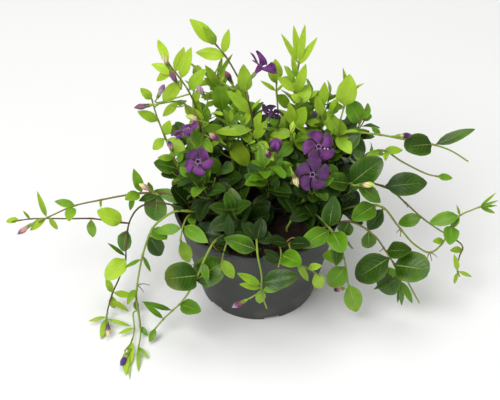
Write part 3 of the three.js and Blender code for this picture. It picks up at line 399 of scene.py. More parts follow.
        ((25, -44), (22, -60, 94), (28, -67, 84), (36, -67, 78), (45, -66, 69)),
        0.3, 1, (20, 10, 11, 5), 0.45,
        marked=(
            (0.58, (38, -65, 60), 5, 0.75), (0.89, (47, -66, 54), 9, 0.8), (0.76, (45, -70, 84), 5, 0.8),
        ),
    ),
    "front_left_small": Twig(
        ((-13, -44), (-22, -56, 96), (-26, -66, 90), (-28, -70, 78)),
        0.3, 1, (22, 12, 18, 8), 0.3,
        marked=((0.39, (-22, -54, 118), 7), (0.77, (-26, -68, 66), 8, 0.7)),
    ),
    "back_left": Twig(
        ((-26, 34), (-40, 52, 98), (-52, 66, 90), (-58, 76, 68), (-60, 82, 44), (-58, 88, 24)),
        0.15, 3, (26, 15, 16, 7), 0.35, cut=False, shoots=(5, 0.2, 0.85, 16),
    ),
    "back_middle": Twig(
        ((4, 36), (6, 56, 100), (4, 74, 92), (2, 84, 70), (4, 92, 46), (8, 98, 22), (10, 106, 6)),
        0.15, 4, (26, 15, 14, 6), 0.35, cut=False, shoots=(6, 0.2, 0.85, 16),
    ),
    "back_right": Twig(
        ((30, 32), (46, 48, 100), (62, 58, 92), (72, 66, 74), (78, 74, 54), (84, 80, 36)),
        0.15, 3, (26, 15, 16, 7), 0.35, cut=False, shoots=(5, 0.2, 0.6, 16),
    ),
    "back_upright": Twig(
        ((-6, 30), (-12, 42, 106), (-18, 50, 124), (-20, 56, 138)),
        0.1, 3, (27, 15, 19, 8), 0.5, cut=False, shoots=(6, 0.3, 0.98, 18),
    ),
    "crown_left": Twig(
        ((-22, -8), (-30, -18, 96), (-37, -24, 110), (-41, -26, 124)),
        0.45, 4, (25, 14, 20, 10), 0.25, cut=False, shoots=(5, 0.5, 0.98, 15),
    ),
    "crown_front": Twig(
        ((-6, -22), (-10, -34, 94), (-16, -42, 104), (-19, -46, 116)),
        0.1, 5, (27, 16, 20, 10), 0.2, cut=False, shoots=(4, 0.45, 0.98, 14),
        marked=((0.26, (-21, -31, 110), 12), (0.11, (7, -25, 105), 12)),
    ),
    "crown_middle": Twig(
        ((4, -6), (8, -12, 104), (6, -20, 122), (4, -24, 138)),
        0.1, 4, (27, 15, 20, 9), 0.45, cut=False, shoots=(7, 0.4, 0.98, 17),
    ),
    "crown_right": Twig(
        ((20, -12), (28, -20, 98), (37, -28, 112), (42, -30, 124)),
        0.1, 5, (27, 16, 20, 10), 0.25, cut=False, shoots=(6, 0.4, 0.98, 16),
    ),
    "crown_back": Twig(
        ((16, 34), (26, 40, 104), (34, 46, 124), (38, 50, 138)),
        0.1, 3, (27, 15, 19, 8), 0.5, to=0.7, shoots=(6, 0.3, 0.9, 18),
    ),
}

# The flowers: stem, twig, share of its route, centre, facing, radius, flare, turn about the tube and
# how far painted shade darkens it. One that flares by more than 1 is half open.
BLOOMS = {
    "bloom_top": ("top_whip", 0, 0.62, (1, 14, 200), (0.6, 0.2, 0.77), 13, 0.5, 0.8, 0.0),
    "bloom_top_back": ("top_center_shoot", 0, 0.6, (9.5, 8, 163), (0.4, 0.85, 0.2), 9, 0.3, 1.3, 0.65),
    "bloom_left_side": (
        "upper_left_mid", 0, 0.5, (-53, -6, 158), (-0.45, 0.25, 0.85), 11.5, 0.15, 2.2, 0.0,
    ),
    "bloom_left": ("crown_left", 0, 0.93, (-44, -20, 140), (-0.1, -0.75, 0.6), 10.5, 0.1, 0.9, 0.1),
    "bloom_right_high": (
        "top_right_shoot", 0, 0.5, (43.5, -8, 144), (0.15, -0.7, 0.7), 12.5, 0.05, 4.0, 0.15,
    ),
    "bloom_right_low": ("crown_right", 0, 0.9, (38.5, -32, 138), (-0.1, -0.8, 0.6), 12.5, 0.05, 5.1, 0.48),
    "bloom_half_open": ("crown_middle", 0, 0.95, (12.5, -14, 148), (-0.1, -0.1, 1), 5, 2, 0.0, 0.0),
}

# The buds: stem, twig, share of its route, centre, facing, whether it is green and so part of its
# stem's node, and the colours of its foot, middle and tip.
BUDS = {
    "bud_top_left": ("upper_left_tall", 0, 0.96, (-67, 14, 207), (-0.3, 0, 1), 1, "rose cream lime"),
    "bud_left_1": ("upper_left_tall", 0, 0.86, (-61, 6, 197), (-0.4, 0, 0.9), 0, "shadow mauve rose"),
    "bud_left_2": ("upper_left_tall", 0, 0.76, (-70, 6, 185), (0.4, 0, 0.9), 0, "lime lilac mauve"),
    "bud_left_3": ("upper_left_outer", 0, 0.93, (-84, 0, 175), (-1, 0, -0.2), 0, "shadow mauve rose"),
    "bud_left_4": (
        "upper_left_outer", 0, 0.6, (-64, -14, 150), (-0.2, -0.2, 0.95), 0, "shadow blush purple",
    ),
    "bud_left_5": ("upper_left_mid", 0, 0.55, (-32, -8, 153), (-0.7, -0.1, 0.7), 0, "shadow wine blush"),
    "bud_left_6": ("upper_left_mid", 0, 0.6, (-48, 4, 161), (-0.9, 0, 0.4), 1, "shadow cream lime"),
    "bud_left_7": ("left_long", 0, 0.4, (-84, -12, 108), (-0.8, 0, 0.6), 1, "rose blush cream"),
    "bud_top_1": ("top_left_shoot", 0, 0.93, (-22, 14, 191), (-0.4, 0, 0.9), 0, "shadow shadow rose"),
    "bud_top_2": ("upper_left_tall", 0, 0.55, (-42, 6, 185), (-0.4, -0.2, 0.9), 0, "mauve lilac lilac"),
    "bud_top_right": (
        "top_right_shoot", 0, 0.75, (40, -2, 169), (-0.1, -0.75, 0.65), 0, "shadow dusk dusk",
    ),
    "bud_middle_1": ("crown_middle", 0, 0.8, (7, -30, 155), (0.6, -0.2, -0.8), 1, "blush shadow lime"),
    "bud_middle_2": ("top_tuft", 0, 0.5, (24, -8, 162), (0.1, 0, 1), 1, "lime lime lime"),
    "bud_middle_3": ("crown_right", 0, 0.6, (26, -37, 137), (0.3, -0.1, -0.9), 0, "rose cream cream"),
    "bud_right_1": ("right_cut", 0, 0.64, (106, -5, 152), (0.9, 0.3, -0.2), 0, "cream dusk mauve"),
    "bud_right_2": ("right_low", 0, 0.9, (79, -26, 123), (0.9, -0.3, 0.3), 0, "rose cream lime"),
    "bud_far_left": ("left_hanging", 1, 0.75, (-177, -22, 74), (-0.8, -0.3, -0.5), 0, "blush blush mauve"),
    "bud_low_left": ("left_hanging", 2, 0.8, (-115, -62, 7), (0.1, -0.95, -0.2), 0, "shadow mauve cream"),
    "bud_lowest": ("left_falling", 1, 0.9, (-101, -92, 6), (-0.35, -0.93, 0), 0, "cream purple purple"),
    "bud_front": ("front_hanging", 0, 0.8, (-15, -79, 53), (-0.8, 0, -0.6), 0, "rose wine lilac"),
    "bud_front_right": (
        "front_right_falling", 0, 0.9, (59, -63, 52), (-0.6, -0.6, 0.5), 0, "rose blush shadow",
    ),
}

# Dry roots and twigs that lie on the soil near the front left, as short routes in millimetres.
LITTER = (
    ((-41, -30, 81), (-37, -36, 83.5), (-34, -41, 82), (-30, -47, 79.5)),
    ((-44, -40, 80), (-38, -41, 83), (-33, -39, 84.5), (-27, -40, 82)),
    ((-35, -48, 79), (-36, -42, 82.5), (-40, -37, 83.5)),
    ((-30, -33, 82), (-27, -27, 83.5), (-26, -20, 82)),
    ((-39, -45, 79), (-35, -45, 82), (-32, -49, 80.5), (-28, -50, 78.5)),
    ((20, -42, 80), (25, -39, 82), (31, -40, 80)),
    ((-12, 16, 82), (-4, 19, 84), (3, 17, 82)),
    ((34, 8, 81), (38, 14, 82.5), (36, 21, 80.5)),
)
# The first of them are forked, and one dead leaf lies among them: root, way ahead and face.
FORKED = 5
DEAD_LEAF = ((-30, -46, 81), (0.8, -0.4, 0.5), (-0.3, 0.4, 0.8))

# Places where the soil lies open to view: middle and radius.
OPEN_SOIL = ((24, -40, 9), (22, -22, 9), (15, -4, 6), (-54, -10, 6))

# Half a leaf's width along its length, as shares, for a pointed leaf and for a round one.
POINTED_LEAF = (
    (0, 0), (0.035, 0.1), (0.09, 0.18), (0.2, 0.68), (0.4, 1.0), (0.62, 0.92), (0.84, 0.52), (1, 0),
)
ROUND_LEAF = (
    (0, 0), (0.03, 0.12), (0.07, 0.3), (0.18, 0.82), (0.42, 1.0), (0.68, 0.97), (0.88, 0.7), (1, 0),
)
# A leaf wider than this many metres gets the finer blade. Each blade has (columns, rows) of points.
WIDE_LEAF = 0.0121
PLAIN_BLADE, FINE_BLADE = (5, 9), (7, 15)

# Shapes of a flower's tube, a half-open flower and a bud: distance along and radius.
TUBE_FOOT = ((-9, 0.85), (-7.5, 0.95), (-5.5, 1.15), (-3.6, 1.7))
OPEN_TUBE = (
    *TUBE_FOOT, (-2, 2.2), (-0.9, 2.3), (0, 2.1), (0.4, 1.9), (0.5, 1.7), (0.3, 1.5), (-0.4, 1.2),
    (-1.6, 0.9), (-2.6, 0.5),
)
HALF_OPEN = (
    *TUBE_FOOT, (-1.5, 2.5), (0.5, 3.5), (2.5, 4.2), (4.4, 4.5), (5.8, 4.1), (6.9, 3.2), (7.5, 2.0),
    (7.7, 0.6),
)
# Which stop of the open tube is its brim.
TUBE_BRIM = 8
FURLED = (
    (0, 0.65), (0.03, 0.95), (0.12, 1.2), (0.28, 1.6), (0.44, 2.0), (0.57, 2.15), (0.7, 1.95),
    (0.82, 1.5), (0.92, 0.95), (1.0, 0.42), (1.04, 0.12),
)

# The crumbs of the soil in layers: share of the crumbs, size, finish and flatness.
CRUMBS = ((1.0, 1.0, "Soil", 0.75), (0.12, 2.1, "Soil", 0.7), (0.02, 1.0, "Pale bits", 0.4))

# The outside of the pot without its bands runs straight from foot to rim.
POT_HEIGHT, FOOT_RADIUS, POT_FLARE = 85, 45, 19.2
# The bottom, edge and top of the soil, how far it stands in from the pot's outside, and the number
# of rings on its top.
SOIL_BOTTOM, SOIL_EDGE, SOIL_TOP, SOIL_INSET, SOIL_RINGS = 5.4, 76.0, 78.0, 1.9, 22
POT_SIDES, SOIL_SIDES, FLOWER_SIDES = 120, 96, 30

# Where a stem's route starts, and how deep its foot goes.
ROUTE_HEIGHT, FOOT_DEPTH = 83, 74
CALYX_LENGTH, TOOTH_LENGTH, TOOTH_WIDTH = 2.6, 4.6, 0.95
BUD_LENGTH, TUBE_LENGTH = 11, 9
# Where the petals begin, how far they bulge, and their rows and columns of points.
MOUTH_RADIUS, PETAL_BULGE, PETAL_ROWS, PETAL_COLUMNS = 1.6, 0.22, 12, 10
# The space between a calyx and the flower or bud in it.
GAP = 0.3
# The visible stems are this much slimmer than the solids, whose stems are three-sided.
SLIMMER = 0.86
# The points of a visible stem are about this far apart, and its knots about this long.
ROD_STEP, KNOT_LENGTH = 2.2, 1.4
# Painted shade: leaves get darker below this height, and nearer to the middle than this, over a distance
# each.
SHADE_HEIGHT, SHADE_DEPTH, SHADE_RADIUS, SHADE_WIDTH = 148, 38, 95, 30
# The solids' stems are straight over stretches of about this length.
STRETCH = 19
# How many places are tried for a leaf, how near a corner of the packed node has to be to its tip,
# and how many leaves may be missing there.
LEAF_TRIES, TIP_NEAR, MOST_MISSING = 12, 0.05, 40
# The distance that the added leaves keep from what is there, in space and in the picture.
SPACING, PICTURE_SPACING, PICTURE_SQUARE = 2.2, 2.6, 3
# A stem longer than this is thicker at its foot.
LONG_STEM = 110
# How far apart the seeds are from stem to stem, then from twig to twig and from leaf to leaf.
LEAF_SEEDS, SMALL_SEEDS, SHOOT_SEEDS = (7919, 977, 31), (15013, 53), (20011, 701, 13)
# The camera looks at this point, from this far, this high above the level.
TARGET = Vector((-6.479, 0, 84.455))
DISTANCE = 1100
ELEVATION = math.radians(42.179)


def random_from(seed):
    """A run of numbers between 0 and 1 that is the same every time for the same seed."""
    state = seed
    for turn in itertools.count():
        state = (state * 1664525 + 1013904223) % 2**32
        if turn >= 3:
            yield state / 2**32


def clamp(value, low=0.0, high=1.0):
    return min(max(value, low), high)


def square_to(way, direction):
    """The part of a direction that is square to the way."""
    return (direction - way * direction.dot(way)).normalized()


def level_of(way):
    """A level direction square to the way."""
    level = way.cross(UP)
    return level.normalized() if level.length >= 0.05 else Vector((1, 0, 0))


def side_of(facing):
    """Any direction square to the given one."""
    return facing.cross(Vector((0, 1, 0)) if abs(facing.z) > 0.9 else UP).normalized()


class Route:
    """The smooth route of a stem, with the straight stretches that the solids follow."""

    def __init__(self, points):
        points = [Vector(p) for p in points]
        ends = [2 * points[0] - points[1], *points, 2 * points[-1] - points[-2]]
        self.fine = [points[0]]
        for a, b, c, d in zip(ends, ends[1:], ends[2:], ends[3:]):
            gaps = [max((q - p).length, 1e-4) ** 0.5 for p, q in ((a, b), (b, c), (c, d))]
            start = (b - a) / gaps[0] - (c - a) / (gaps[0] + gaps[1]) + (c - b) / gaps[1]
            end = (c - b) / gaps[1] - (d - b) / (gaps[1] + gaps[2]) + (d - c) / gaps[2]
            start, end = start * gaps[1], end * gaps[1]
            for i in range(1, 13):
                t = i / 12
                self.fine.append(
                    b + start * t + (3 * (c - b) - 2 * start - end) * t**2
                    + (2 * (b - c) + start + end) * t**3
                )
        self.reached = [0.0]
        for a, b in zip(self.fine, self.fine[1:]):
            self.reached.append(self.reached[-1] + (b - a).length)
        self.length = self.reached[-1]
        self.steps = math.ceil(self.length / STRETCH)
        self.joints = [self.smooth(k / self.steps) for k in range(self.steps + 1)]

    def smooth(self, share):
        """The point of the smooth route at a share of its length."""
        goal = clamp(share) * self.length
        i = 1
        while i < len(self.fine) - 1 and self.reached[i] < goal:
            i += 1
        span = self.reached[i] - self.reached[i - 1]
        return self.fine[i - 1].lerp(self.fine[i], (goal - self.reached[i - 1]) / span)

    def at(self, share):
        """The point of the straight stretches at a share of the length."""
        goal = clamp(share) * self.steps
        i = min(math.floor(goal), self.steps - 1)
        return self.joints[i].lerp(self.joints[i + 1], goal - i)

    def along(self, share):
        return (self.at(share + 0.03) - self.at(share - 0.03)).normalized()


@dataclass
class Leaf:
    """One leaf: its root, the way ahead, the way that it faces, its length and width."""

    root: Vector
    ahead: Vector
    face: Vector
    long: float
    wide: float
    share: float
    age: float
    tone: float = None
    marked: bool = False
    bend: float = 0.0
    seed: int = 0
    twig: int = 0

    def places(self, seed):
        """The places that the leaf may take, the wanted one first."""
        run = random_from(seed)
        for turn in range(LEAF_TRIES):
            reach = (0 if self.marked else 0.24) + 0.16 * turn
            shift = Vector([next(run) - 0.5 for _ in range(3)]) * reach
            ahead = (self.ahead + shift).normalized()
            face = square_to(ahead, self.face)
            swing = (next(run) - 0.5) * ((0 if self.marked else 0.5) + 0.14 * turn)
            size = 1 - 0.05 * max(0, turn - 4)
            bend = 0.12 if self.marked else 0.05 + 0.3 * next(run)
            yield replace(
                self, ahead=ahead, face=Quaternion(ahead, swing) @ face, bend=bend, seed=seed,
                long=self.long * size, wide=self.wide * size,
            )

    def tip(self):
        return self.root + (self.ahead - self.face * self.bend) * self.long

    def middle(self, share):
        """The point of the midrib at a share of the blade's length."""
        drop = self.face * self.bend * self.long * share**2
        return self.root + self.ahead * self.long * share - drop

    def points(self):
        """Points spread over the blade, for keeping another leaf clear of it."""
        side = self.ahead.cross(self.face)
        for share, width in ((0.3, 0.4), (0.55, 0.5), (0.8, 0.3), (1.0, 0.0)):
            for across in ((-1, 0, 1) if width else (0,)):
                rise = abs(across) * width * 0.32 * self.wide
                yield self.middle(share) + side * across * width * self.wide + self.face * rise

    def spots(self):
        """Points spread closely over the blade, for keeping it in view."""
        side = self.ahead.cross(self.face)
        rows = max(3, round(self.long / 3))
        for k in range(rows):
            share = 0.2 + 0.8 * k / (rows - 1)
            width = self.wide * 0.5 * math.sin(math.pi * clamp(share, 0.15, 0.93)) ** 0.7
            steps = max(1, round(width / 2.5))
            for step in range(-steps, steps + 1):
                yield self.middle(share) + side * width * step / steps


def marked_leaf(route, share, tip, width, tone=None):
    """One leaf whose tip is given, as it is read from the picture."""
    root = route.at(share)
    reach = Vector(tip) - root
    face = Vector((0, -0.6, 0.8))
    return Leaf(root, reach.normalized(), face, reach.length, width, share, share, tone, marked=True)


def pair_shares(twig):
    """Where the pairs of leaves stand along a twig, each with its age from 0 to 1."""
    for i in range(twig.pairs):
        age = i / (twig.pairs - 1) if twig.pairs > 1 else 0
        yield twig.start + (twig.to - twig.start) * age**0.9, age


def leaf_pair(twig, share, age, opening, size, turn):
    """Two leaves set across the twig, turned a quarter from the last pair where it stands up."""
    root, ahead = twig.way.at(share), twig.way.along(share)
    level = level_of(ahead)
    upright = ahead.z > 0.6
    if upright:
        level = Quaternion(ahead, 0.7 + math.pi / 2 * turn) @ level
    long, wide, long_last, wide_last = twig.leaf
    for sign in (1, -1):
        out = level * sign
        way = ahead * math.cos(opening) + out * math.sin(opening) + UP * (0 if upright else 0.25)
        up = max(0, ahead.z) * 0.6
        face = UP * (1 - up) + ahead * up - out * 0.25
        long_here = size * (long + (long_last - long) * age)
        wide_here = size * (wide + (wide_last - wide) * age)
        yield Leaf(root + out * 0.2, way.normalized(), face, long_here, wide_here, share, age)


def leaves_of(twig):
    """The leaves that the part's source wants on one twig, in its order."""
    leaves = []
    for share, age in pair_shares(twig):
        leaves += leaf_pair(twig, share, age, 1.05 - 0.35 * age, 1, len(leaves) / 2)
    if not twig.cut:
        leaves += leaf_pair(twig, 0.99, 1, 0.35, 0.8, len(leaves) / 2)
    return leaves + [marked_leaf(twig.way, *row) for row in twig.marked]


def near_keys(key):
    """A square or cube of the sorted points and all its neighbours."""
    return itertools.product(*(range(c - 1, c + 2) for c in key))


class Room:
    """Points that are taken, sorted into small cubes so that the near ones are found fast."""

    def __init__(self):
        self.cubes = {}

    def key(self, point):
        return tuple(math.floor(c / SPACING) for c in point)

    def take(self, points):
        for point in points:
            self.cubes.setdefault(self.key(point), []).append(point)

    def is_free(self, points, gap=SPACING):
        """Whether every point is above the floor and keeps its distance from all the taken ones."""
        for point in points:
            taken = (q for key in near_keys(self.key(point)) for q in self.cubes.get(key, ()))
            if point.z < 2 or any((point - q).length < gap for q in taken):
                return False
        return True


class View:
    """Where the leaves read from the picture stand in it, so that no added leaf hides one of them."""

    def __init__(self):
        self.squares = {}

    def seen(self, point):
        """A point's place across and up the picture, in millimetres, and how near it is."""
        x, y, z = point - TARGET
        near = z * math.sin(ELEVATION) - y * math.cos(ELEVATION)
        scale = DISTANCE / (DISTANCE - near)
        return x * scale, (z * math.cos(ELEVATION) + y * math.sin(ELEVATION)) * scale, near

    def key(self, across, up):
        return math.floor(across / PICTURE_SQUARE), math.floor(up / PICTURE_SQUARE)

    def show(self, points):
        for point in points:
            across, up, near = self.seen(point)
            self.squares.setdefault(self.key(across, up), []).append((across, up, near))

    def is_clear(self, points):
        """Whether no point stands in front of what has to stay in view."""
        for point in points:
            across, up, near = self.seen(point)
            for key in near_keys(self.key(across, up)):
                for a, u, n in self.squares.get(key, ()):
                    if n < near and math.hypot(a - across, u - up) < PICTURE_SPACING:
                        return False
        return True


class Stem:
    """A stem of the plant: its twigs, its leaves, and the heads of flowers and buds that it bears."""

    def __init__(self, index, name, row):
        self.index, self.name = index, name
        x, y = row.route[0]
        main = Route([(x, y, ROUTE_HEIGHT), *row.route[1:]])
        thick = 1.15 if main.length > LONG_STEM else 1
        self.twigs = [replace(row, way=main, thick=thick, foot=(x, y, FOOT_DEPTH))]
        for side_arm in row.arms:
            way = Route([main.at(side_arm.at), *side_arm.route])
            self.twigs.append(replace(side_arm, way=way, thick=0.75, thin=0.6, bark=row.bark))
        self.leaves, self.heads = [], []

    def seed(self, steps, *places):
        """A seed of its own for each place on the plant."""
        return sum([step * place for step, place in zip(steps, (self.index + 1, *places))])

    def find_leaves(self, room, view):
        """Gives each leaf the place that it has in the packed solids, and counts those without one.

        A leaf is found by its tip among the corners of the stem's packed node.
        """
        missing = 0
        corners = [v.co / MM for v in frame["nodes"]["stem_" + self.name].data.vertices]
        tree = kdtree.KDTree(len(corners))
        for i, corner in enumerate(corners):
            tree.insert(corner, i)
        tree.balance()
        for t, twig in enumerate(self.twigs):
            for i, leaf in enumerate(leaves_of(twig)):
                places = leaf.places(self.seed(LEAF_SEEDS, t, i))
                place = next((p for p in places if tree.find(p.tip())[2] < TIP_NEAR), None)
                if place:
                    self.hold(place, t, room, view if place.marked else None)
                else:
                    missing += 1
        for i, (t, *row) in enumerate(self.twigs[0].small):
            leaf = marked_leaf(self.twigs[t].way, *row)
            self.hold(next(leaf.places(self.seed(SMALL_SEEDS, i))), t, room, view)
        return missing

    def hold(self, leaf, t, room, view=None):
        """Keeps a leaf of twig t, and its room and, where it matters, its place in the view."""
        self.leaves.append(replace(leaf, twig=t))
        room.take(leaf.points())
        if view:
            view.show(leaf.spots())

    def add_leaf(self, leaf, t, seed, room, view):
        """Adds one leaf in the first of its places that is free, and says whether there was one."""
        for place in leaf.places(seed):
            points = list(place.points())
            if room.is_free(points) and view.is_clear(points):
                self.hold(place, t, room)
                return True
        return False

    def add_leaves(self, room, view, extra_share):
        """Grows more leaves between the pairs, each where it crosses and hides nothing."""
        for t, twig in enumerate(self.twigs):
            shares = list(pair_shares(twig))
            middles = [((a + b) / 2, (p + q) / 2) for (a, p), (b, q) in zip(shares, shares[1:])]
            run = random_from(4001 + 613 * self.index + 37 * t)
            for turn, (share, age) in enumerate(middles):
                pair = leaf_pair(twig, share, age, 1.1 - 0.35 * age, 0.85, turn + 0.5)
                for side, leaf in enumerate(pair):
                    if next(run) <= extra_share:
                        seed = self.seed(LEAF_SEEDS, t, 40 + 2 * turn + side)
                        self.add_leaf(leaf, t, seed, room, view)

    def shoot_route(self, share, long, k, run, room):
        """A free route for a side shoot, or None where there is none."""
        way = self.twigs[0].way
        root, ahead = way.smooth(share), way.along(share)
        for turn in range(5):
            out = Quaternion(ahead, 2.4 * k + 1.3 * turn + self.index) @ level_of(ahead)
            reach = long * (0.75 + 0.5 * next(run)) * (1 - 0.1 * turn)
            rise = (out + ahead * 0.7 + UP * 0.35).normalized()
            points = [root, root + rise * reach * 0.5, root + rise * reach * 0.85 + UP * reach * 0.25]
            route = Route(points)
            if room.is_free([route.smooth(i / 6) for i in range(2, 7)], 1.5):
                return route
        return None

    def add_shoots(self, room, view):
        """Grows short leafy side shoots out of the main route, turning round it as they climb."""
        main = self.twigs[0]
        count, first, last, long = main.shoots
        run = random_from(9001 + 389 * self.index)
        for k in range(count):
            share = first + (last - first) * (k + 0.2 + 0.6 * next(run)) / count
            route = self.shoot_route(share, long, k, run, room)
            if route is None:
                continue
            sizes = (long, long * 0.56, long * 0.75, long * 0.4)
            tone = main.tone + 0.3 * (share - 0.6)
            shoot = Twig(None, 0.4, 2, sizes, tone, bark=(0.75, 0.05), way=route, thick=0.55, thin=0.4)
            pairs = [
                leaf_pair(shoot, 0.42, 0, 1.0, 1, 0), leaf_pair(shoot, 0.74, 0.6, 0.85, 1, 1),
                leaf_pair(shoot, 0.98, 1, 0.4, 1, 2),
            ]
            t = len(self.twigs)
            grew = [
                self.add_leaf(leaf, t, self.seed(SHOOT_SEEDS, k, i), room, view)
                for i, leaf in enumerate(itertools.chain(*pairs))
            ]
            if any(grew):
                self.twigs.append(shoot)


def place_heads(stems, room, view):
    """Gives each flower and bud to its stem, and keeps its room and its place in the view."""
    for name, (stem_name, t, share, centre, facing, *rest) in {**BLOOMS, **BUDS}.items():
        facing, centre = Vector(facing).normalized(), Vector(centre)
        base = centre - facing * (TUBE_LENGTH if name in BLOOMS else BUD_LENGTH / 2)
        stem = stems[stem_name]
        stem.heads.append((base, facing, stem.twigs[t].way.at(share)))
        room.take([base + facing * k for k in (0, 4, 8)])
        view.show([base + facing * k for k in (-2, 1, 4, 7, 10)])
        if name in BLOOMS:
            side = side_of(facing)
            for k, far in itertools.product(range(12), (0.25, 0.5, 0.75, 0.95)):
                point = centre + Quaternion(facing, k * math.pi / 6) @ side * rest[0] * far
                room.take([point])
                view.show([point])


def keep_soil_open(view):
    """Keeps the added leaves from hiding the places where the soil shows."""
    for x, y, radius in OPEN_SOIL:
        for turn, far in itertools.product(range(9), (0.0, 0.5, 1.0)):
            angle, out = turn * 2 * math.pi / 9, radius * far
            spot = (x + out * math.cos(angle), y + out * math.sin(angle), SOIL_TOP + 2)
            view.show([Vector(spot)])


def plant_layout(extra_share):
    """Every stem with its leaves, as the packed solids have them, and some leaves and shoots more.

    The added leaves and shoots each keep clear of all that is there.
    """
    room, view = Room(), View()
    stems = {name: Stem(i, name, row) for i, (name, row) in enumerate(STEMS.items())}
    missing = sum([stem.find_leaves(room, view) for stem in stems.values()])
    if missing > MOST_MISSING:
        raise RuntimeError(f"{missing} leaves of the source aren't in the packed solids")
    place_heads(stems, room, view)
    keep_soil_open(view)
    for stem in stems.values():
        stem.add_leaves(room, view, extra_share)
    for stem in stems.values():
        stem.add_shoots(room, view)
    return stems.values()


# Nodes.


def linear(code):
    """A colour written as six hex digits, as the linear red, green and blue that Blender holds."""
    parts = [int(code[i : i + 2], 16) / 255 for i in (0, 2, 4)]
    return tuple(c / 12.92 if c <= 0.04045 else ((c + 0.055) / 1.055) ** 2.4 for c in parts)


def arithmetic(operation):
    """A method that puts a value and another one, or a number, through a Math node."""

    def method(self, other):
        return self.tree.math(operation, self, other)

    return method


class Value:
    """One output of a node. Arithmetic on it adds Math nodes to its tree."""

    __add__ = arithmetic("ADD")
    __sub__ = arithmetic("SUBTRACT")
    __mul__ = arithmetic("MULTIPLY")
    __pow__ = arithmetic("POWER")
    __gt__ = arithmetic("GREATER_THAN")
    __lt__ = arithmetic("LESS_THAN")

    def __init__(self, tree, socket):
        self.tree, self.socket = tree, socket

    def __rsub__(self, other):
        return self.tree.math("SUBTRACT", other, self)

    def __rtruediv__(self, other):
        return self.tree.math("DIVIDE", other, self)

    def __abs__(self):
        return self.tree.math("ABSOLUTE", self)

    def ramp(self, low, high, start=0.0, end=1.0):
        """Maps the value from one range to another, smoothly and without going past it."""
        inputs = {0: self, 1: low, 2: high, 3: start, 4: end}
        return self.tree.put("ShaderNodeMapRange", inputs, interpolation_type="SMOOTHSTEP")


class Tree:
    """A node tree in the making."""

    def __init__(self, tree):
        self.tree = tree

    def fill(self, socket, value):
        """Links a node's output to a socket, or gives the socket a plain number."""
        if isinstance(value, Value):
            self.tree.links.new(value.socket, socket)
        else:
            socket.default_value = value

    def put(self, kind, inputs=(), out=0, **settings):
        """Adds a node, sets its settings, fills its inputs, and gives the output asked for."""
        made = self.tree.nodes.new(kind)
        for key, value in settings.items():
            setattr(made, key, value)
        for key, value in dict(inputs).items():
            self.fill(made.inputs[key], value)
        if isinstance(out, tuple):
            return [Value(self, made.outputs[key]) for key in out]
        return Value(self, made.outputs[out])

    def math(self, operation, *numbers):
        return self.put("ShaderNodeMath", dict(enumerate(numbers)), operation=operation)

    def blend(self, factor, a, b):
        """Mixes two numbers."""
        return self.put("ShaderNodeMix", {0: factor, 2: a, 3: b}, data_type="FLOAT")

    def parts(self, vector):
        """The x, y and z of a vector."""
        return self.put("ShaderNodeSeparateXYZ", {0: vector}, (0, 1, 2))

    def place(self):
        """The place on the object, which stays with the piece."""
        return self.put("ShaderNodeTexCoord", out="Object")


class Group(Tree):
    """A new node group. Each of its inputs has a default, or just the kind of its socket."""

    def __init__(self, name, kind, inputs, outputs, socket="Float"):
        super().__init__(bpy.data.node_groups.new(name, kind))
        for label, value in inputs.items():
            given = value if isinstance(value, str) else type(value).__name__.capitalize()
            made = self.socket(label, "INPUT", given)
            if given != value:
                made.default_value = value
        for label in outputs:
            self.socket(label, "OUTPUT", socket)
        self.given = self.tree.nodes.new("NodeGroupInput").outputs
        self.result = self.tree.nodes.new("NodeGroupOutput").inputs

    def socket(self, label, way, kind):
        return self.tree.interface.new_socket(label, in_out=way, socket_type="NodeSocket" + kind)

    def __getitem__(self, label):
        return Value(self, self.given[label])

    def __setitem__(self, label, value):
        self.fill(self.result[label], value)


def made_once(name):
    """Lets a function that builds a node group find the group if it is already there."""

    def wrap(build):
        def find_or_build():
            return bpy.data.node_groups.get(name) or build(name)

        return find_or_build

    return wrap


@made_once("Patches and specks")
def mottle_group(name):
    """Uneven patches and fine specks over a surface, for colour, roughness and relief."""
    scales = {"Patch scale": 60.0, "Speck scale": 900.0, "Contrast": 1.0}
    group = Group(name, "ShaderNodeTree", scales, ("Patches", "Specks"))
    for label, scale, detail in (("Patches", "Patch scale", 3.0), ("Specks", "Speck scale", 4.0)):
        inputs = {"Vector": group.place(), "Scale": group[scale], "Detail": detail}
        noise = group.put("ShaderNodeTexNoise", inputs)
        group[label] = (noise - 0.5) * group["Contrast"] + 0.5
    return group.tree


@made_once("Midrib and veins")
def vein_group(name):
    """The pale midrib and the curved side veins of a leaf or petal, from its own attributes."""
    inputs = {"Across": 0.0, "Along": 0.0, "Count": 7.0, "Slant": 0.35, "Midrib width": 0.075}
    group = Group(name, "ShaderNodeTree", inputs, ("Midrib", "Veins"))
    along, away = group["Along"], abs(group["Across"])
    group["Midrib"] = away.ramp(0.0, group["Midrib width"] * (1.15 - along), 1.0, 0.0)
    phase = (along - away**1.3 * group["Slant"]) * group["Count"]
    wave = abs(group.math("FRACT", phase) - 0.5)
    group["Veins"] = wave.ramp(0.0, 0.11, 1.0, 0.0) * away.ramp(0.95, 0.6)
    return group.tree


